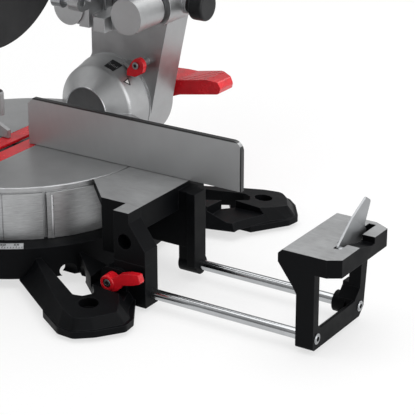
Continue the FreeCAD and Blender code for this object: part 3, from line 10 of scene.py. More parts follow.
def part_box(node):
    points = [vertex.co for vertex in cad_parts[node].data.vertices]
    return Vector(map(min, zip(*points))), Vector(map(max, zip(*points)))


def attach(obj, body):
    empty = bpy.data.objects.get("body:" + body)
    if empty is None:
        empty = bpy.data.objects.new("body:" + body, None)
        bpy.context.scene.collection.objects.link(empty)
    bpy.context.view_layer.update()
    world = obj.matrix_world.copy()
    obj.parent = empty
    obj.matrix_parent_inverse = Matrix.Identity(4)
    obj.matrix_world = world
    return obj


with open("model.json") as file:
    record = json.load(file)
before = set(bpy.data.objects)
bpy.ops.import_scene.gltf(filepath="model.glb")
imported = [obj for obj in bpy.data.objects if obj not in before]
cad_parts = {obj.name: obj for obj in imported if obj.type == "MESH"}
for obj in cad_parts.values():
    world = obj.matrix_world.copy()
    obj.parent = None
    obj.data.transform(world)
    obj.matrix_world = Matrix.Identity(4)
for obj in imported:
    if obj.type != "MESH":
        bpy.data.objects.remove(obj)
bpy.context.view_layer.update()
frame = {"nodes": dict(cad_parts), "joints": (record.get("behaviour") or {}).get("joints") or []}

bl_info = {
    "name": "Sliding mitre saw looks",
    "version": (1, 0, 0),
    "blender": (4, 5, 0),
    "location": "3D View > Sidebar > Mitre saw",
    "description": "Finishes, marks, screws, floor, lamps and camera for a sliding mitre saw",
    "category": "Object",
}

NODES = frame["nodes"]
JOINTS = {joint["name"]: joint for joint in frame["joints"]}
MM = 0.001


def corners(node):
    """Lowest and highest corner of a CAD node, in metres."""
    low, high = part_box(node)
    return Vector(low), Vector(high)


def pivot(joint):
    """The point that a joint turns about, in metres."""
    return Vector(JOINTS[joint]["pos_m"])


# Places read from the saw itself
TABLE_TOP = corners("kerf_plates")[1].z + 0.2 * MM
FENCE_TOP = corners("fence_right")[1].z
FENCE_END = corners("fence_right")[1].x
DOME_AXIS = pivot("bevel_tilt").z
DOME_FRONT = corners("bevel_pivot_bolt")[0].y - 12 * MM
BLADE = pivot("blade_spin")
CHOP = pivot("head_chop")
# The turntable's drum
DRUM_RADIUS = 137 * MM
# What picks the upward faces at table height for a layer of a finish
TABLE_FACE = [("Z", "GREATER_THAN", TABLE_TOP - 0.4 * MM), ("facing Z", "GREATER_THAN", 0.9)]
# The head's pieces are placed as they lie at the end of the chop, then raised to rest.
FULL_CHOP = math.radians(JOINTS["head_chop"]["range_deg"][1])
RAISE = Matrix.Translation(CHOP) @ Matrix.Rotation(-FULL_CHOP, 4, "X") @ Matrix.Translation(-CHOP)
# Ways that faces and screws point
UP, FRONT, REAR, RIGHT, LEFT = (0, 0, 1), (0, -1, 0), (0, 1, 0), (1, 0, 0), (-1, 0, 0)


def linear(hex_colour):
    """An sRGB hex value such as 8f9296, as linear RGBA."""
    parts = [int(hex_colour[i:i + 2], 16) / 255 for i in (0, 2, 4)]
    return [p / 12.92 if p <= 0.04045 else ((p + 0.055) / 1.055) ** 2.4 for p in parts] + [1.0]


def colour_of(name, description, value):
    """A colour that a user may change, written as an sRGB hex value."""
    return StringProperty(name=name, description=description, default=value)


class SawFinishSettings(bpy.types.PropertyGroup):
    """Colours and finish sizes that a user would change."""

    paint: colour_of("Black paint", "Powder-coated castings", "08090b")
    plastic: colour_of("Black plastic", "Moulded ABS housings", "121315")
    lever_red: colour_of("Lever red", "Levers, buttons and inserts", "d61a26")
    casting: colour_of("Cast aluminium", "Tumbled die castings", "a8a9aa")
    machined: colour_of("Machined aluminium", "Ground and turned faces", "b2b3b4")
    steel: colour_of("Steel", "Screws, sheet and blade", "a4a6a8")
    chrome: colour_of("Chrome", "Rods and rails", "b8babc")
    rubber: colour_of("Rubber", "Feet, wipers and gland", "161617")
    copper: colour_of("Copper", "Motor windings", "b0652f")
    # The black ink also stands as painted shade in the drum's grooves and the screw sockets
    ink: colour_of("Scale ink", "Engraved and filled lines", "141414")
    # The white ink serves only as the painted glint on the dome's triangle mark
    white: colour_of("White ink", "Lines on black", "e6e6e4")
    edge_round: FloatProperty(name="Edge rounding", description="Radius of the castings' broken edges",
                              default=0.8 * MM, min=0.0, unit="LENGTH")


class SawDetailSettings(bpy.types.PropertyGroup):
    """Sizes of the marks and fasteners."""

    scale_zero: FloatProperty(name="Scale zero",
                              description="Where the mitre scale's nought lies, from the front",
                              default=math.radians(-19), subtype="ANGLE", unit="ROTATION")
    digit_height: FloatProperty(name="Digit height", description="Type size on the mitre scale",
                                default=5.6 * MM, unit="LENGTH")
    teeth: IntProperty(name="Teeth", description="Carbide tips on the blade", default=40, min=8)


class SawStageSettings(bpy.types.PropertyGroup):
    """The floor and the camera."""

    floor_colour: colour_of("Floor", "Pale floor", "f2f2f2")
    floor_size: FloatProperty(name="Floor size", description="Edge of the square floor",
                              default=12.0, unit="LENGTH")
    lens: FloatProperty(name="Lens", description="Focal length in millimetres on a 36 mm frame",
                        default=143.3)


def add(tree, kind, values=None, links=None):
    """Adds a shader node, sets its settings and inputs by name or number, and links its inputs."""
    made = tree.nodes.new("ShaderNode" + kind)
    for key, value in (values or {}).items():
        if isinstance(key, str) and hasattr(made, key):
            setattr(made, key, value)
        else:
            made.inputs[key].default_value = value
    for key, source in (links or {}).items():
        tree.links.new(source, made.inputs[key])
    return made


def feed(tree, socket, part):
    """Gives a socket a constant or a link."""
    if isinstance(part, (int, float)):
        socket.default_value = part
    else:
        tree.links.new(part, socket)


def empty_tree(owner):
    """The node tree of a material or a world, turned on and emptied."""
    owner.use_nodes = True
    owner.node_tree.nodes.clear()
    return owner.node_tree


def new_material(name):
    """An empty node material, with its shader."""
    material = bpy.data.materials.new(name)
    tree = empty_tree(material)
    shader = add(tree, "BsdfPrincipled")
    add(tree, "OutputMaterial", links={"Surface": shader.outputs["BSDF"]})
    return material, tree, shader


def read_places(tree):
    """What patterns and masks read: the point, its axes, its distance from the upright axis,
    the normal and a slow cloud."""
    coords = add(tree, "TexCoord")
    point = add(tree, "SeparateXYZ", links={0: coords.outputs["Object"]})
    normal = add(tree, "SeparateXYZ", links={0: coords.outputs["Normal"]})
    flat = add(tree, "CombineXYZ", links={"X": point.outputs["X"], "Y": point.outputs["Y"]})
    radius = add(tree, "VectorMath", {"operation": "LENGTH"}, {0: flat.outputs[0]})
    cloud = add(tree, "TexNoise", {"Scale": 1 / (22 * MM), "Detail": 5.0, "Roughness": 0.6},
                {"Vector": coords.outputs["Object"]})
    places = {"point": coords.outputs["Object"], "radius": radius.outputs["Value"],
              "cloud": cloud.outputs["Fac"]}
    for axis in "XYZ":
        places[axis] = point.outputs[axis]
        places["facing " + axis] = normal.outputs[axis]
    return places


def mask_of(tree, places, where):
    """1 where every condition of a layer holds, each given as (what, comparison, value)."""
    mask = None
    for what, comparison, value in where:
        test = add(tree, "Math", {"operation": comparison, 1: value}, {0: places[what]}).outputs[0]
        if mask is not None:
            test = add(tree, "Math", {"operation": "MULTIPLY"}, {0: mask, 1: test}).outputs[0]
        mask = test
    return mask


def lay(tree, places, look, layer):
    """Lays one layer over the look so far, all over or only where its conditions hold.
    Its pattern is noise grains, or waves, of a real size in metres, drawn out by its stretch."""
    scale = Vector([s / layer["size"] for s in layer.get("stretch", (1, 1, 1))])
    centre = Vector(layer.get("centre", (0, 0, 0)))
    spread = add(tree, "Mapping", {"Location": -centre * scale, "Scale": scale}, {"Vector": places["point"]})
    if "wave" in layer:
        kind, direction = layer["wave"]
        settings = {"wave_type": kind, "Scale": math.tau / 20, "Distortion": layer.get("wander", 0.0),
                    ("bands" if kind == "BANDS" else "rings") + "_direction": direction}
        pattern = add(tree, "TexWave", settings, {"Vector": spread.outputs[0]})
    else:
        pattern = add(tree, "TexNoise", {"Scale": 1.0, "Detail": 3.0, "Roughness": 0.65},
                      {"Vector": spread.outputs[0]})
    grain = pattern.outputs["Fac"]
    tone = add(tree, "Mix", {"data_type": "FLOAT", 0: layer.get("show", 0.25)},
               {2: places["cloud"], 3: grain})
    span = {"From Min": 0.36, "From Max": 0.64}
    mix = add(tree, "MapRange", span, {"Value": tone.outputs[0]}).outputs[0]
    shades = {"data_type": "RGBA", 6: layer["dark"], 7: layer["light"]}
    colour = add(tree, "Mix", shades, {0: mix}).outputs[2]
    low, high = layer["rough"]
    gloss = {**span, "To Min": low, "To Max": high}
    rough = add(tree, "MapRange", gloss, {"Value": tone.outputs[0]}).outputs[0]
    height = add(tree, "Math", {"operation": "MULTIPLY", 1: layer["depth"]}, {0: grain}).outputs[0]
    if "where" not in layer:
        look.update(colour=colour, rough=rough, height=height, metal=layer["metal"])
        return
    mask = mask_of(tree, places, layer["where"])
    mixed = add(tree, "Mix", {"data_type": "RGBA"}, {0: mask, 6: look["colour"], 7: colour})
    look["colour"] = mixed.outputs[2]
    for key, value in (("rough", rough), ("height", height), ("metal", layer["metal"])):
        blend = add(tree, "Mix", {"data_type": "FLOAT"}, {0: mask})
        feed(tree, blend.inputs[2], look[key])
        feed(tree, blend.inputs[3], value)
        look[key] = blend.outputs[0]


def rub(tree, places, rounded, colour, edge_sheen_and_wear_colour):
    """The colour so far, made paler in patches where an edge bends: a painted edge highlight, partly real
    edge wear.
    """
    flat = add(tree, "NewGeometry")
    bend = add(tree, "VectorMath", {"operation": "DOT_PRODUCT"},
               {0: rounded.outputs[0], 1: flat.outputs["True Normal"]})
    share = add(tree, "MapRange", {"From Min": 0.995, "From Max": 0.9, "To Max": 0.8},
                {"Value": bend.outputs["Value"]})
    patch = add(tree, "Math", {"operation": "MULTIPLY", "use_clamp": True},
                {0: share.outputs[0], 1: places["cloud"]})
    return add(tree, "Mix", {"data_type": "RGBA", 7: edge_sheen_and_wear_colour}, {0: patch.outputs[0], 6: colour}).outputs[2]


def surface(name, layers, edge=0.0, edge_sheen_and_wear_colour=None, fixed=None):
    """A material from layers: the first covers all, each further one only where its conditions hold.
    Edges are rounded by the shader over a real radius, and may be made paler there: a painted edge
    highlight, partly real edge wear."""
    material, tree, shader = new_material(name)
    places = read_places(tree)
    look = {}
    for layer in layers:
        lay(tree, places, look, layer)
    bump = add(tree, "Bump", {"Distance": 1.0}, {"Height": look["height"]})
    if edge > 0:
        rounded = add(tree, "Bevel", {"samples": 4, "Radius": edge})
        tree.links.new(rounded.outputs[0], bump.inputs["Normal"])
        # Painted edge highlight, partly edge wear: a paler colour where the rounded normal bends away from
        # the true one
        if edge_sheen_and_wear_colour:
            look["colour"] = rub(tree, places, rounded, look["colour"], edge_sheen_and_wear_colour)
    tree.links.new(look["colour"], shader.inputs["Base Color"])
    tree.links.new(look["rough"], shader.inputs["Roughness"])
    tree.links.new(bump.outputs[0], shader.inputs["Normal"])
    feed(tree, shader.inputs["Metallic"], look["metal"])
    for socket, value in (fixed or {}).items():
        shader.inputs[socket].default_value = value
    return material


def tones(hex_colour, low, high):
    """A layer's dark and light colour: one colour made darker and lighter."""
    base = linear(hex_colour)
    dark, light = ([min(1.0, c * share) for c in base[:3]] + [1.0] for share in (low, high))
    return {"dark": dark, "light": light}


def powder_coat(settings, ground):
    """Aluminium castings under black powder coat: near black, a fine orange peel, edges painted grey as
    highlight and wear.
    Where ground is set, the faces at table height are bare, with straight grinding lines."""
    coat = {**tones(settings.paint, 0.75, 1.3), "size": 0.9 * MM, "depth": 0.03 * MM,
            "rough": (0.42, 0.58), "metal": 0.0}
    bare = {**tones(settings.machined, 0.62, 0.95), "size": 0.5 * MM, "stretch": (0.03, 1, 1), "show": 0.7,
            "depth": 0.01 * MM, "rough": (0.36, 0.5), "metal": 0.55, "where": TABLE_FACE}
    name = "powder_coated_casting_ground_top" if ground else "powder_coated_casting"
    layers = [coat, bare] if ground else [coat]
    # 3a3b3e is the paler grey painted on the edges, as edge highlight and wear
    return surface(name, layers, settings.edge_round, linear("3a3b3e"), {"Specular IOR Level": 0.07})


def tumbled(settings):
    """The first layer of bare castings: bright grey with a fine even grain."""
    return {**tones(settings.casting, 0.88, 1.04), "size": 0.5 * MM, "depth": 0.02 * MM,
            "rough": (0.36, 0.5), "metal": 0.9}


def cast_aluminium(settings):
    """Die-cast aluminium, tumbled: bright grey with a fine even grain and a soft sheen."""
    # c4c6c8 is the paler grey painted on the edges, as edge highlight and wear
    return surface("cast_aluminium", [tumbled(settings)], settings.edge_round, linear("c4c6c8"))


def turned_aluminium(settings):
    """The turntable: lathe rings on its top, drum brushed round, the dome's front disc turned and painted
    darker as shade.
    """
    top = {**tones(settings.machined, 0.72, 0.98), "wave": ("RINGS", "Z"), "size": 1.3 * MM,
           "wander": 0.6, "show": 0.4, "depth": 0.008 * MM, "rough": (0.3, 0.4), "metal": 0.7,
           "where": TABLE_FACE}
    drum = {**tones(settings.casting, 0.74, 1.2), "size": 0.45 * MM, "stretch": (0.04, 0.04, 1),
            "show": 0.75, "depth": 0.012 * MM, "rough": (0.3, 0.42), "metal": 0.76,
            "where": [("radius", "GREATER_THAN", DRUM_RADIUS - 3 * MM),
                      ("radius", "LESS_THAN", DRUM_RADIUS + 0.6 * MM), ("facing Z", "LESS_THAN", 0.3)]}
    # The dome's front disc: turned rings, and a much darker tone painted on as shade where it faces forward
    disc = {**tones(settings.casting, 0.32, 0.55), "wave": ("RINGS", "Y"), "size": 1.1 * MM,
            "wander": 0.5, "show": 0.35, "centre": (0, 0, DOME_AXIS), "depth": 0.008 * MM,
            "rough": (0.34, 0.44), "metal": 0.92,
            "where": [("Y", "GREATER_THAN", DOME_FRONT - 0.6 * MM),
                      ("Y", "LESS_THAN", DOME_FRONT + 0.6 * MM), ("facing Y", "LESS_THAN", -0.9)]}
    # c4c6c8 is the paler grey painted on the edges, as edge highlight and wear
    return surface("turned_and_brushed_aluminium", [tumbled(settings), top, drum, disc],
                   settings.edge_round, linear("c4c6c8"))


def fence_aluminium(settings):
    """Extruded fence: fine upright serrations on its face, drawn twice as coarse as real so that they show,
    and a black anodised edge on its top and its outer end."""
    plain = {**tones(settings.machined, 0.78, 1.0), "size": 0.5 * MM, "stretch": (0.05, 1, 1),
             "depth": 0.01 * MM, "rough": (0.34, 0.44), "metal": 0.85}
    face = {**tones(settings.machined, 0.5, 1.0), "wave": ("BANDS", "X"), "size": 1.1 * MM, "show": 0.75,
            "depth": 0.06 * MM, "rough": (0.36, 0.44), "metal": 0.6,
            "where": [("facing Y", "LESS_THAN", -0.9)]}
    top = {**tones(settings.plastic, 0.7, 1.1), "size": 0.5 * MM, "depth": 0.01 * MM,
           "rough": (0.3, 0.4), "metal": 0.0, "where": [("Z", "GREATER_THAN", FENCE_TOP - 1.6 * MM)]}
    ends = [{**top, "where": [("X", comparison, sign * (FENCE_END - 1.4 * MM)),
                              ("Z", "GREATER_THAN", TABLE_TOP)]}
            for comparison, sign in (("GREATER_THAN", 1), ("LESS_THAN", -1))]
    return surface("serrated_fence_aluminium", [plain, face, top, *ends], 0.4 * MM)


def metal(name, hex_colour, rough, size, depth, edge=0.0, stretch=(1, 1, 1)):
    """Bare metal with grains or brushing of a real size, and a gloss that varies a little."""
    base = {**tones(hex_colour, 0.86, 1.0), "size": size, "stretch": stretch, "depth": depth,
            "rough": (rough * 0.85, rough * 1.15), "metal": 1.0}
    return surface(name, [base], edge)


def moulded(name, hex_colour, rough, size, depth, edge, edge_sheen_and_wear_colour=None, level=0.5):
    """Moulded plastic or rubber with the grain of its mould and a gloss that varies a little."""
    base = {**tones(hex_colour, 0.8, 1.15), "size": size, "depth": depth,
            "rough": (rough * 0.82, rough * 1.2), "metal": 0.0}
    return surface(name, [base], edge, edge_sheen_and_wear_colour, {"IOR": 1.5, "Specular IOR Level": level})


def make_finishes(settings):
    """Every finish that the saw wears, by name."""
    edge = settings.edge_round
    return {
        "paint": powder_coat(settings, False),
        "paint_ground": powder_coat(settings, True),
        "casting": cast_aluminium(settings),
        "turned": turned_aluminium(settings),
        "fence": fence_aluminium(settings),
        # Zinc plate: a dull silver with faint mottling
        "steel": metal("zinc_plated_steel", settings.steel, 0.34, 0.4 * MM, 0.008 * MM, 0.3 * MM),
        # Blade plate: brushed along one way, greyer than zinc
        "blade": metal("ground_blade_steel", "8f9194", 0.3, 0.3 * MM, 0.006 * MM, 0.0, (1, 0.05, 1)),
        # The drum's beads and the dome's rim: turned metal made paler than the casting, a painted highlight,
        # so that each shows as one clear bright line
        "bead": metal("turned_aluminium_painted_highlight", "dcdddf", 0.3, 0.4 * MM, 0.002 * MM),
        # Scale strip: satin silver lacquer on sheet, paler and softer than bare metal
        "scale": moulded("satin_silver_lacquer", "b4b6b8", 0.4, 0.5 * MM, 0.004 * MM, 0.0),
        # Cold-rolled sheet: smooth and soft, with a faint rolling grain
        "sheet": metal("cold_rolled_sheet", "a2a4a6", 0.4, 0.5 * MM, 0.008 * MM, 0.2 * MM, (1, 1, 0.06)),
        # Hard chrome: nearly a mirror, with the ghost of a grinding pattern round the rod
        "chrome": metal("hard_chrome", settings.chrome, 0.16, 0.4 * MM, 0.002 * MM),
        # Polished mould ABS: saturated red, tight highlights, faint flow marks
        "red": moulded("polished_red_abs", settings.lever_red, 0.24, 7 * MM, 0.04 * MM, edge),
        # Spark-eroded ABS: even grain that breaks the highlights up, and 303134 painted on its edges as edge
        # highlight and wear
        "plastic": moulded("spark_eroded_black_abs", settings.plastic, 0.46, 0.5 * MM, 0.03 * MM, edge,
                           linear("303134"), 0.3),
        # Rubber: matt, a little grey where light grazes it
        "rubber": moulded("moulded_rubber", settings.rubber, 0.72, 0.7 * MM, 0.04 * MM, 0.4 * MM, None, 0.3),
        "copper": metal("enamelled_copper", settings.copper, 0.3, 0.6 * MM, 0.05 * MM),
        # Carbide: darker and duller than the blade's plate
        "carbide": metal("sintered_carbide", "6d6e70", 0.42, 0.3 * MM, 0.006 * MM, 0.1 * MM),
        # Ink in engraved lines and print; the same black also stands as painted shade in the drum's grooves
        # and in screw sockets
        "ink": moulded("black_ink_and_painted_shade", settings.ink, 0.6, 0.3 * MM, 0.004 * MM, 0.0),
        # White ink: used only for the painted glint in the middle of the dome's triangle mark
        "white": moulded("white_ink_painted_glint", settings.white, 0.6, 0.3 * MM, 0.004 * MM, 0.0),
    }


NODE_FINISH = {
    "paint_ground": ["base_casting", "end_frame_left", "end_frame_right"],
    "rubber": ["rubber_feet", "cord_inlet"],
    "turned": ["turntable_casting"],
    "casting": ["bevel_arm", "head_carriage", "head_casting", "upper_guard"],
    "fence": ["fence_right", "fence_left_lower", "fence_left_slider"],
    "chrome": ["slide_rails", "extension_rods_left", "extension_rods_right", "clamp_screw_left",
               "clamp_screw_right", "bevel_stop_screw", "mitre_lock_shaft"],
    "sheet": ["end_stop_left", "end_stop_right"],
    "scale": ["mitre_scale"],
    "blade": ["saw_blade"],
    "steel": ["mitre_pivot_bolt", "fence_bolts", "bevel_pivot_bolt", "chop_pivot_pin", "return_spring",
              "head_lock_pin", "arbor_spindle", "blade_flanges", "blade_bolt", "spindle_gear",
              "rear_bearing", "depth_stop_screw", "motor_armature"],
    "red": ["fence_lock_knob", "kerf_plates", "mitre_pointer", "detent_lever", "bevel_lock_lever",
            "bevel_stop_lever", "trigger", "lock_off_button", "clamp_lever_left", "clamp_lever_right"],
    "plastic": ["bevel_scale", "mitre_lock_knob", "rail_bushes", "rail_end_piece", "rail_lock_knob",
                "lower_guard", "motor_housing", "brush_caps", "motor_end_cover", "handle_grip",
                "carry_handle", "spindle_lock_button"],
    "copper": ["motor_stator"],
}
FINISHES = {}


class SAW_OT_finishes(bpy.types.Operator):
    """Makes every finish and gives each CAD node its own"""

    bl_idname = "saw.finishes"
    bl_label = "Finishes"

    def execute(self, context):
        FINISHES.update(make_finishes(context.scene.saw_finish))
        for finish_name, nodes in NODE_FINISH.items():
            for node in nodes:
                slots = NODES[node].data.materials
                slots.clear()
                slots.append(FINISHES[finish_name])
        return {"FINISHED"}


def deselect():
    """Nothing selected, in object mode."""
    if bpy.context.object and bpy.context.object.mode != "OBJECT":
        bpy.ops.object.mode_set(mode="OBJECT")
    bpy.ops.object.select_all(action="DESELECT")


def faces(rule):
    """In edit mode, selects the faces that a rule picks by their centre and normal, and no others."""
    bpy.ops.mesh.select_mode(type="FACE")
    bpy.ops.mesh.select_all(action="DESELECT")
    mesh = bmesh.from_edit_mesh(bpy.context.object.data)
    for face in mesh.faces:
        face.select_set(bool(rule(face.calc_center_median(), face.normal)))
    bmesh.update_edit_mesh(bpy.context.object.data)


def draw_out(width, length):
    """Insets the selected faces, then draws them out along their normal."""
    bpy.ops.mesh.inset(thickness=width)
    bpy.ops.mesh.extrude_region_shrink_fatten(TRANSFORM_OT_shrink_fatten={"value": length})


def step_up(rule, width, rise):
    """Insets the faces that a rule picks, then moves them along Z."""
    faces(rule)
    bpy.ops.mesh.inset(thickness=width)
    bpy.ops.transform.translate(value=(0, 0, rise))


def end_piece(name, body, finish, place=None):
    """Ends the active piece: places it, merges doubles, turns its faces outward and gives its finish and
    body."""
    piece = bpy.context.object
    if piece.mode != "OBJECT":
        bpy.ops.object.mode_set(mode="OBJECT")
    piece.name = name
    for modifier in list(piece.modifiers):
        bpy.ops.object.modifier_apply(modifier=modifier.name)
    if place is not None:
        piece.matrix_world = place @ piece.matrix_world
    bpy.ops.object.transform_apply(location=True, rotation=True, scale=True)
    bpy.ops.object.mode_set(mode="EDIT")
    bpy.ops.mesh.select_all(action="SELECT")
    bpy.ops.mesh.remove_doubles(threshold=0.005 * MM)
    bpy.ops.mesh.normals_make_consistent(inside=False)
    bpy.ops.object.mode_set(mode="OBJECT")
    bpy.ops.object.shade_smooth_by_angle(angle=math.radians(32))
    if finish:
        piece.data.materials.clear()
        piece.data.materials.append(FINISHES[finish])
    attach(piece, body)
    return piece


def repeated(pattern, places):
    """Copies of one shape, each with its own mesh, at the given places, joined into one active piece."""
    copies = []
    for place in places:
        copy = pattern.copy()
        copy.data = pattern.data.copy()
        bpy.context.scene.collection.objects.link(copy)
        copy.matrix_world = place @ pattern.matrix_world
        copies.append(copy)
    bpy.data.objects.remove(pattern)
    deselect()
    for copy in copies:
        copy.select_set(True)
    bpy.context.view_layer.objects.active = copies[0]
    if len(copies) > 1:
        bpy.ops.object.join()
    return bpy.context.object


def standing(point, axis, turn=0.0):
    """A place at a point, with the shape's own Z laid along an axis."""
    lay_over = Vector(axis).normalized().to_track_quat("Z", "Y").to_matrix().to_4x4()
    return Matrix.Translation(point) @ lay_over @ Matrix.Rotation(turn, 4, "Z")


def landing(node, start, way):
    """Where a straight line from a point meets a CAD node, and the node's normal there."""
    hit, point, normal, _ = NODES[node].ray_cast(Vector(start), Vector(way).normalized())
    if not hit:
        raise RuntimeError("no surface of %s at %s" % (node, tuple(start)))
    return point, normal


def places_on(node, starts, axis, turn=0.0):
    """Places on a CAD node that face along an axis, each below a start in millimetres."""
    way = -Vector(axis)
    points = [landing(node, [v * MM for v in start], way)[0] for start in starts]
    return [standing(point, axis, turn) for point in points]


def cap_screw(radius, height):
    """A cap screw's head, standing on Z = 0: broken rim and a deep hexagon socket, its inside given the
    black ink finish as painted shade.
    """
    deselect()
    bpy.ops.mesh.primitive_cylinder_add(vertices=24, radius=radius, depth=height,
                                        location=(0, 0, height / 2))
    head = bpy.context.object
    bpy.ops.object.mode_set(mode="EDIT")
    step_up(lambda centre, normal: normal.z > 0.9, 0.14 * radius, 0.12 * radius)
    bpy.ops.object.mode_set(mode="OBJECT")
    bpy.ops.mesh.primitive_cylinder_add(vertices=6, radius=0.58 * radius, depth=2 * height,
                                        location=(0, 0, height * 1.2))
    bpy.ops.object.mode_set(mode="EDIT")
    step_up(lambda centre, normal: normal.z < -0.9, 0.1 * radius, -0.08 * radius)
    bpy.ops.object.mode_set(mode="OBJECT")
    socket = bpy.context.object
    # The socket's inside is painted black: painted shade in the recess
    socket.data.materials.append(FINISHES["ink"])
    head.data.materials.append(FINISHES["steel"])
    deselect()
    head.select_set(True)
    bpy.context.view_layer.objects.active = head
    cut = head.modifiers.new("socket", "BOOLEAN")
    cut.operation, cut.object, cut.solver, cut.material_mode = "DIFFERENCE", socket, "EXACT", "TRANSFER"
    bpy.ops.object.modifier_apply(modifier=cut.name)
    bpy.data.objects.remove(socket)
    return head


def screws(name, body, radius, height, places):
    """A set of like cap screws on one body, as one piece."""
    repeated(cap_screw(radius, height), places)
    return end_piece(name, body, None)


def tick(width, length, height):
    """An inlaid scale line standing on Z = 0 and running along Y, its ends tapered."""
    deselect()
    bpy.ops.mesh.primitive_cube_add(size=1, location=(0, 0, height / 2),
                                    scale=(width, length * 0.8, height))
    bpy.ops.object.transform_apply(location=True, rotation=False, scale=True)
    bpy.ops.object.mode_set(mode="EDIT")
    faces(lambda centre, normal: abs(normal.y) > 0.9)
    draw_out(0.01 * width, length * 0.1)
    bpy.ops.transform.resize(value=(0.5, 1, 1))
    bpy.ops.object.mode_set(mode="OBJECT")
    return bpy.context.object


def numeral(text, size, thickness):
    """A number as a thin mesh, centred, lying on Z = 0."""
    deselect()
    bpy.ops.object.text_add(location=(0, 0, 0))
    written = bpy.context.object
    written.data.body, written.data.size = text, size
    written.data.align_x, written.data.align_y = "CENTER", "CENTER"
    written.data.extrude, written.data.resolution_u = thickness / 2, 3
    written.data.offset = 0.035 * size
    bpy.ops.object.convert(target="MESH")
    bpy.context.object.location.z = thickness / 2
    bpy.ops.object.transform_apply(location=True, rotation=False, scale=False)
    return bpy.context.object


def ring(inner, outer, depth):
    """A ring standing on Z = 0 with a stepped, hollowed face."""
    deselect()
    bpy.ops.mesh.primitive_cylinder_add(vertices=48, radius=outer, depth=depth, location=(0, 0, depth / 2))
    bpy.ops.object.mode_set(mode="EDIT")
    faces(lambda centre, normal: abs(normal.z) > 0.9)
    bpy.ops.mesh.inset(thickness=outer - inner)
    bpy.ops.mesh.bridge_edge_loops()
    step_up(lambda centre, normal: normal.z > 0.9, 0.2 * (outer - inner), 0.25 * (outer - inner))
    bpy.ops.object.mode_set(mode="OBJECT")
    return bpy.context.object


def round_axis(angle, radius, height):
    """A place in front of the upright axis, turned round that axis by an angle."""
    return Matrix.Rotation(angle, 4, "Z") @ Matrix.Translation((0, -radius, height))


def dome_way(degrees):
    """The way out from the dome's axis, at an angle from upright towards the right."""
    angle = math.radians(degrees)
    return Vector((math.sin(angle), 0, math.cos(angle)))


def join_all(pieces):
    """Joins pieces into the first of them and makes it active."""
    deselect()
    for piece in pieces:
        piece.select_set(True)
    bpy.context.view_layer.objects.active = pieces[0]
    if len(pieces) > 1:
        bpy.ops.object.join()
    return bpy.context.object


def by_mirror(tree, path):
    """1 for rays that come off a glossy face or through a clear one."""
    return add(tree, "Math", {"operation": "MAXIMUM"},
               {0: path.outputs["Is Glossy Ray"], 1: path.outputs["Is Transmission Ray"]}).outputs[0]


def white_floor(colour):
    """A pale painted floor: matt, lit by the lamps, and for what the eye sees directly or mirrored
    lifted towards white, most of all away from the saw, so that only a soft shadow is left."""
    material = bpy.data.materials.new("pale_matt_floor")
    tree = empty_tree(material)
    coords = add(tree, "TexCoord")
    fleck = add(tree, "TexNoise", {"Scale": 1 / (3 * MM), "Detail": 2.0},
                {"Vector": coords.outputs["Object"]})
    tint = add(tree, "Mix", {"data_type": "RGBA", 6: linear(colour), 7: linear("fafafa")},
               {0: fleck.outputs["Fac"]})
    matt = add(tree, "BsdfDiffuse", links={"Color": tint.outputs[2]})
    glow = add(tree, "Emission", {"Color": linear("ffffff"), "Strength": 1.0})
    path = add(tree, "LightPath")
    seen = add(tree, "Math", {"operation": "MAXIMUM"},
               {0: path.outputs["Is Camera Ray"], 1: by_mirror(tree, path)})
    away = add(tree, "VectorMath", {"operation": "LENGTH"}, {0: coords.outputs["Object"]})
    lift = add(tree, "MapRange", {"From Min": 0.5, "From Max": 1.6, "To Min": 0.66, "To Max": 1.0},
               {"Value": away.outputs["Value"]})
    share = add(tree, "Math", {"operation": "MULTIPLY"}, {0: lift.outputs[0], 1: seen.outputs[0]})
    mixed = add(tree, "MixShader", links={0: share.outputs[0], 1: matt.outputs[0], 2: glow.outputs[0]})
    add(tree, "OutputMaterial", links={"Surface": mixed.outputs[0]})
    return material


def studio_world():
    """White to the eye and in mirrors, dimmer on the left and low in front of the saw as in a
    studio, and dim as a lamp."""
    world = bpy.data.worlds.new("studio")
    tree = empty_tree(world)
    path = add(tree, "LightPath")
    coords = add(tree, "TexCoord")
    way = add(tree, "SeparateXYZ", links={0: coords.outputs["Generated"]})
    front = add(tree, "MapRange", {"From Min": -0.05, "From Max": -0.6}, {"Value": way.outputs["Y"]})
    low = add(tree, "MapRange", {"From Min": 0.75, "From Max": 0.3}, {"Value": way.outputs["Z"]})
    dim = add(tree, "Math", {"operation": "MULTIPLY"}, {0: front.outputs[0], 1: low.outputs[0]})
    ahead = add(tree, "MapRange", {"To Min": 1.0, "To Max": 0.65}, {"Value": dim.outputs[0]})
    left = add(tree, "MapRange", {"From Min": -0.5, "From Max": 0.25, "To Min": 0.42},
               {"Value": way.outputs["X"]})
    mirror = add(tree, "Math", {"operation": "MULTIPLY"}, {0: ahead.outputs[0], 1: left.outputs[0]})
    base = add(tree, "Mix", {"data_type": "FLOAT", 2: 0.4},
               {0: by_mirror(tree, path), 3: mirror.outputs[0]})
    strength = add(tree, "Mix", {"data_type": "FLOAT", 3: 1.0},
                   {0: path.outputs["Is Camera Ray"], 2: base.outputs[0]})
    sky = add(tree, "Background", {"Color": linear("ffffff")}, {"Strength": strength.outputs[0]})
    add(tree, "OutputWorld", links={"Surface": sky.outputs[0]})
    return world


# Soft boxes: name, edge in metres, power in watts, place
LAMPS = [("top_box", 2.4, 34.0, (0.1, 0.2, 2.2)), ("right_box", 1.6, 22.0, (2.2, -0.3, 0.9)),
         ("left_box", 1.8, 9.0, (-1.8, -1.2, 1.1)), ("back_box", 1.4, 9.0, (0.2, 2.2, 1.3))]
LAMP_AIM = Vector((0.1, 0, 0.15))
# The camera's place in metres, its tilt up from straight down and its turn from the front, in degrees
CAMERA_PLACE, CAMERA_TILT, CAMERA_TURN = (1.0237, -1.2373, 0.6643), 68.0, 32.8


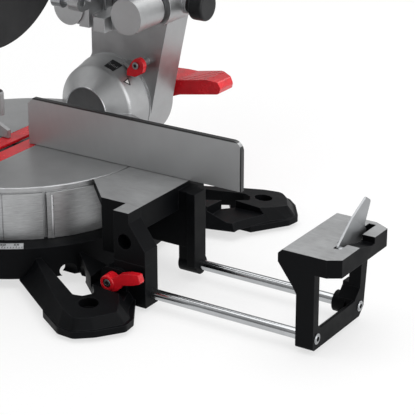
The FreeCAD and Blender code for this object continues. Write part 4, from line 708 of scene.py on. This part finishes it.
class SAW_OT_stage(bpy.types.Operator):
    """Makes the floor, the lamps, the world and the camera"""

    bl_idname = "saw.stage"
    bl_label = "Stage"

    def execute(self, context):
        stage = context.scene.saw_stage
        deselect()
        bpy.ops.mesh.primitive_plane_add(size=stage.floor_size, location=(0, 0, 0))
        floor = context.object
        floor.name = "floor"
        floor.data.materials.append(white_floor(stage.floor_colour))
        context.scene.world = studio_world()
        for name, size, power, place in LAMPS:
            light = bpy.data.lights.new(name, "AREA")
            light.shape = "SQUARE"
            light.size = size
            light.energy = power
            lamp = bpy.data.objects.new(name, light)
            context.scene.collection.objects.link(lamp)
            lamp.location = place
            lamp.rotation_euler = (LAMP_AIM - Vector(place)).to_track_quat("-Z", "Y").to_euler()
        view = bpy.data.cameras.new("photo_view")
        view.lens = stage.lens
        view.sensor_width = 36.0
        view.clip_start, view.clip_end = 0.05, 20.0
        camera = bpy.data.objects.new("photo_view", view)
        context.scene.collection.objects.link(camera)
        camera.location = CAMERA_PLACE
        camera.rotation_euler = (math.radians(CAMERA_TILT), 0.0, math.radians(CAMERA_TURN))
        context.scene.camera = camera
        context.scene.view_settings.view_transform = "Standard"
        return {"FINISHED"}


class SAW_OT_mitre_marks(bpy.types.Operator):
    """Degree lines and numbers on the mitre scale"""

    bl_idname = "saw.mitre_marks"
    bl_label = "Mitre scale marks"

    def execute(self, context):
        detail = context.scene.saw_detail
        low, high = -47, 57
        line_end, digit_middle = 156.8, 149.2
        width, thickness = 0.7 * MM, 0.06 * MM
        bed = corners("mitre_scale")[1].z - 0.02 * MM
        pieces = []
        for step, length in ((1, 3.0), (5, 4.4)):
            degrees = [d for d in range(low, high + 1) if (d % 5 == 0) == (step == 5)]
            middle = (line_end - length / 2) * MM
            places = [round_axis(detail.scale_zero + math.radians(d), middle, bed) for d in degrees]
            pieces.append(repeated(tick(width, length * MM, thickness), places))
        for degree in range(-45, high, 5):
            digits = numeral(str(abs(degree)), detail.digit_height, thickness)
            turn = detail.scale_zero + math.radians(degree)
            digits.matrix_world = round_axis(turn, digit_middle * MM, bed)
            bpy.ops.object.transform_apply(location=True, rotation=True, scale=False)
            pieces.append(digits)
        join_all(pieces)
        end_piece("mitre_scale_marks", "base", "ink")
        return {"FINISHED"}


class SAW_OT_drum_seams(bpy.types.Operator):
    """Dark strips on the drum, painted shade in its grooves, and bright upright beads beside them, on both
    sides of the arm, and a rim round the dome's disc; beads and rim are paler metal as a painted highlight
    """

    bl_idname = "saw.drum_seams"
    bl_label = "Drum seams"

    def execute(self, context):
        low, high = 45 * MM, 86 * MM
        middle, length = (low + high) / 2, high - low
        bead_radius, bead_turn, seam_turn = 1.3 * MM, math.radians(50.7), math.radians(48.2)
        deselect()
        bpy.ops.mesh.primitive_cylinder_add(vertices=14, radius=bead_radius, depth=length)
        bpy.ops.object.mode_set(mode="EDIT")
        faces(lambda centre, normal: abs(normal.z) > 0.9)
        draw_out(0.5 * MM, 0.5 * MM)
        bpy.ops.object.mode_set(mode="OBJECT")
        repeated(bpy.context.object, [round_axis(turn, DRUM_RADIUS, middle)
                                      for turn in (-bead_turn, bead_turn)])
        # The beads in the paler metal: real ribs whose brightness is partly a painted highlight
        end_piece("drum_beads", "turntable", "bead")
        # Black strips laid on the drum at its grooves: painted shade, not ink
        seam = tick(1.1 * MM, length * 1.04, 0.12 * MM)
        upright = Matrix.Rotation(math.pi / 2, 4, "X")
        repeated(seam, [round_axis(turn, DRUM_RADIUS - 0.02 * MM, middle) @ upright
                        for turn in (-seam_turn, seam_turn)])
        end_piece("drum_seams", "turntable", "ink")
        # The dome's rim, in the same paler metal: a painted highlight ring round the disc
        ring(25.4 * MM, 27.0 * MM, 0.5 * MM)
        disc_middle = (0, DOME_FRONT + 0.1 * MM, DOME_AXIS)
        end_piece("dome_rim", "turntable", "bead", standing(disc_middle, FRONT))
        return {"FINISHED"}


class SAW_OT_bevel_marks(bpy.types.Operator):
    """White degree lines on the bevel scale, and a dark triangle on the dome beside it, its white middle a
    painted glint
    """

    bl_idname = "saw.bevel_marks"
    bl_label = "Bevel scale marks"

    def execute(self, context):
        axis, outside = Vector((0, 0, DOME_AXIS)), 80 * MM
        first, last, step, long_line = 13, 27, 2, 1.6
        short_y, long_y = 138.5 * MM, 139.5 * MM
        mark_y, mark_side, mark_turn = 137 * MM, 48.5, math.radians(200)
        places = []
        for index, degrees in enumerate(range(first, last, step)):
            way = dome_way(degrees)
            along = short_y if index % 3 else long_y
            start = axis + way * outside + Vector((0, along, 0))
            point, normal = landing("bevel_scale", start, -way)
            across = Vector(REAR).cross(normal).normalized()
            run = normal.cross(across)
            turn = Matrix((across, run, normal)).transposed().to_4x4()
            places.append(Matrix.Translation(point - normal * 0.02 * MM) @ turn
                          @ Matrix.Diagonal((1, 1.0 if index % 3 else long_line, 1, 1)))
        repeated(tick(0.3 * MM, 2.4 * MM, 0.08 * MM), places)
        end_piece("bevel_scale_marks", "turntable", "scale")
        way = dome_way(mark_side)
        start = axis + way * outside + Vector((0, mark_y, 0))
        point, normal = landing("turntable_casting", start, -way)
        place = standing(point, normal, mark_turn)
        # A dark triangle, and on it a smaller white one that stands for a painted glint
        layers = (("dome_mark_rim", 5.4, 0.25, "ink"), ("dome_mark_painted_glint", 3.3, 0.4, "white"))
        for name, radius, height, finish in layers:
            deselect()
            bpy.ops.mesh.primitive_cylinder_add(vertices=3, radius=radius * MM, depth=height * MM)
            bpy.ops.object.mode_set(mode="EDIT")
            faces(lambda centre, normal: True)
            bpy.ops.mesh.bevel(offset=0.1 * radius * MM, segments=2)
            end_piece(name, "turntable", finish, place)
        return {"FINISHED"}


class SAW_OT_base_screws(bpy.types.Operator):
    """Cap screws of the fences, clamps, stops and extension rods, and the kerf plates' flush screws"""

    bl_idname = "saw.base_screws"
    bl_label = "Base screws"

    def execute(self, context):
        for side, sign in (("right", 1), ("left", -1)):
            screws("clamp_cap_" + side, "clamp_" + side, 3.9 * MM, 1.6 * MM,
                   places_on("clamp_screw_" + side, [(sign * 192, -200, 27)], FRONT))
            rods = [(sign * 500, y, 15) for y in (-93, -13)]
            screws("rod_caps_" + side, "extension_" + side, 4.3 * MM, 2.0 * MM,
                   places_on("extension_rods_" + side, rods, (sign, 0, 0), 0.3))
        bolts = [(x, 12, 120) for x in (-188, -163, 163, 188)]
        screws("fence_bolt_caps", "base", 4.6 * MM, 2.2 * MM,
               places_on("fence_bolts", bolts, UP, 0.2))
        screws("bevel_stop_cap", "bevel_stop", 3.6 * MM, 1.6 * MM,
               places_on("bevel_stop_screw", [(46.4, 100, 145.9)], FRONT, 0.2))
        seats = [(x, y, 120) for x in (-14, 14) for y in (-296, -150, 34)]
        screws("kerf_plate_screws", "turntable", 3.6 * MM, 0.16 * MM,
               places_on("kerf_plates", seats, UP))
        return {"FINISHED"}


class SAW_OT_head_screws(bpy.types.Operator):
    """Cap screws of the handle and the upper guard, and the blade bolt's cap"""

    bl_idname = "saw.head_screws"
    bl_label = "Head screws"

    def execute(self, context):
        handle = [(80, -95, 440), (80, -30, 459), (80, -20, 380), (80, -86, 408)]
        screws("handle_screws", "head", 3.0 * MM, 1.2 * MM,
               places_on("handle_grip", handle, RIGHT))
        guard = [(-80, -60, 400), (-80, 0, 420), (-80, 60, 260)]
        screws("guard_screws", "head", 4.0 * MM, 1.8 * MM,
               places_on("upper_guard", guard, LEFT, 0.3))
        low, high = corners("blade_bolt")
        middle = (low + high) / 2
        screws("blade_bolt_cap", "arbor", 5.2 * MM, 2.4 * MM,
               [standing((low.x + 0.4 * MM, middle.y, middle.z), LEFT)])
        return {"FINISHED"}


class SAW_OT_guard_arrow(bpy.types.Operator):
    """The curved arrow on the upper guard that shows which way the blade turns"""

    bl_idname = "saw.guard_arrow"
    bl_label = "Guard arrow"

    def execute(self, context):
        radius, sweep = 92 * MM, math.radians(26)
        width, stub, thickness = 4 * MM, 0.4 * MM, 0.3 * MM
        head_radius, head_lead = 5.2 * MM, 2.4 * MM
        outside = (-80 * MM, BLADE.y, BLADE.z + radius)
        side = landing("upper_guard", outside, RIGHT)[0].x
        start = (side, BLADE.y, BLADE.z + radius)
        head = (side, BLADE.y - head_lead, BLADE.z + radius)
        upright = (0, math.pi / 2, 0)
        deselect()
        bpy.ops.mesh.primitive_plane_add(size=1, location=start, rotation=upright)
        bpy.context.object.scale = (width, stub, 1)
        bpy.ops.object.transform_apply(location=True, rotation=True, scale=True)
        bpy.ops.object.mode_set(mode="EDIT")
        bpy.ops.mesh.select_mode(type="EDGE")
        bpy.ops.mesh.select_all(action="DESELECT")
        mesh = bmesh.from_edit_mesh(bpy.context.object.data)
        for edge in mesh.edges:
            edge.select_set(all(vertex.co.y > BLADE.y + stub / 4 for vertex in edge.verts))
        bmesh.update_edit_mesh(bpy.context.object.data)
        bpy.ops.mesh.spin(steps=14, angle=sweep, center=(side, BLADE.y, BLADE.z), axis=(1, 0, 0))
        bpy.ops.object.mode_set(mode="OBJECT")
        band = bpy.context.object
        deselect()
        bpy.ops.mesh.primitive_circle_add(vertices=3, radius=head_radius, fill_type="NGON",
                                          location=head, rotation=upright)
        bpy.ops.object.mode_set(mode="EDIT")
        bpy.ops.mesh.select_all(action="SELECT")
        bpy.ops.transform.rotate(value=math.pi, orient_axis="X", center_override=head)
        bpy.ops.object.mode_set(mode="OBJECT")
        join_all([band, bpy.context.object])
        wall = bpy.context.object.modifiers.new("ink", "SOLIDIFY")
        wall.thickness, wall.offset = thickness, 0.0
        end_piece("guard_arrow", "head", "ink")
        return {"FINISHED"}


class SAW_OT_blade_tips(bpy.types.Operator):
    """Carbide tips brazed on the blade's teeth"""

    bl_idname = "saw.blade_tips"
    bl_label = "Carbide tips"

    def execute(self, context):
        teeth = context.scene.saw_detail.teeth
        tip_size, tip_depth = (2.6 * MM, 5.0 * MM, 1.6 * MM), 2.4 * MM
        rim = max((v.co for v in NODES["saw_blade"].data.vertices),
                  key=lambda co: round(math.hypot(co.y - BLADE.y, co.z - BLADE.z), 5))
        start = math.atan2(rim.z - BLADE.z, rim.y - BLADE.y)
        reach = math.hypot(rim.y - BLADE.y, rim.z - BLADE.z)
        deselect()
        bpy.ops.mesh.primitive_cube_add(size=1, location=(0, 0, 0), scale=tip_size)
        bpy.ops.object.transform_apply(location=False, rotation=False, scale=True)
        bpy.ops.object.mode_set(mode="EDIT")
        faces(lambda centre, normal: normal.y < -0.9)
        bpy.ops.transform.resize(value=(0.75, 1, 0.7))
        bpy.ops.object.mode_set(mode="OBJECT")
        centre = Matrix.Translation((0, BLADE.y, BLADE.z))
        seat = Matrix.Translation((0, reach - tip_depth, 0))
        turns = [Matrix.Rotation(start + index * math.tau / teeth, 4, "X") for index in range(teeth)]
        repeated(bpy.context.object, [centre @ turn @ seat for turn in turns])
        end_piece("carbide_tips", "arbor", "carbide")
        return {"FINISHED"}


class SAW_OT_threads_and_wipers(bpy.types.Operator):
    """The depth stop's thread and the rubber wipers round the rails"""

    bl_idname = "saw.threads"
    bl_label = "Threads and wipers"

    def execute(self, context):
        pitch, turns, radius, ridge = 1.25 * MM, 34, 2.95 * MM, 0.45 * MM
        foot = (32 * MM, 102 * MM, 214 * MM)
        deselect()
        bpy.ops.mesh.primitive_circle_add(vertices=6, radius=ridge, location=(radius, 0, 0),
                                          rotation=(math.pi / 2, 0, 0))
        bpy.ops.object.mode_set(mode="EDIT")
        bpy.ops.mesh.select_all(action="SELECT")
        bpy.ops.transform.resize(value=(1.2, 1, 0.8))
        bpy.ops.object.mode_set(mode="OBJECT")
        bpy.ops.object.transform_apply(location=True, rotation=True, scale=True)
        helix = bpy.context.object.modifiers.new("thread", "SCREW")
        helix.axis, helix.angle, helix.screw_offset, helix.iterations = "Z", math.tau, pitch, turns
        helix.steps, helix.render_steps = 16, 16
        end_piece("depth_stop_thread", "head", "steel", RAISE @ Matrix.Translation(foot))
        rear, rail_height = corners("bevel_arm")[1].y, 210 * MM
        rails = [(x, rear, rail_height) for x in (-12 * MM, 62 * MM)]
        lip, outer, depth = 12.3 * MM, 15.6 * MM, 1.6 * MM
        repeated(ring(lip, outer, depth), [standing(rail, REAR) for rail in rails])
        end_piece("rail_wipers", "bevel", "rubber")
        return {"FINISHED"}


class SAW_PT_panel(bpy.types.Panel):
    """Lists the saw's making steps"""

    bl_label = "Mitre saw"
    bl_idname = "SAW_PT_panel"
    bl_space_type = "VIEW_3D"
    bl_region_type = "UI"
    bl_category = "Mitre saw"

    def draw(self, context):
        for step in STEPS:
            self.layout.operator(step.bl_idname)


STEPS = [SAW_OT_stage, SAW_OT_finishes, SAW_OT_mitre_marks, SAW_OT_drum_seams, SAW_OT_bevel_marks,
         SAW_OT_base_screws, SAW_OT_head_screws, SAW_OT_guard_arrow, SAW_OT_blade_tips,
         SAW_OT_threads_and_wipers]
CLASSES = [SawFinishSettings, SawDetailSettings, SawStageSettings, *STEPS, SAW_PT_panel]


def register():
    for cls in CLASSES:
        bpy.utils.register_class(cls)
    bpy.types.Scene.saw_finish = PointerProperty(type=SawFinishSettings)
    bpy.types.Scene.saw_detail = PointerProperty(type=SawDetailSettings)
    bpy.types.Scene.saw_stage = PointerProperty(type=SawStageSettings)


def unregister():
    del bpy.types.Scene.saw_stage
    del bpy.types.Scene.saw_detail
    del bpy.types.Scene.saw_finish
    for cls in reversed(CLASSES):
        bpy.utils.unregister_class(cls)


def main():
    register()
    for step in STEPS:
        group, name = step.bl_idname.split(".")
        getattr(getattr(bpy.ops, group), name)()


if __name__ == "__main__":
    main()
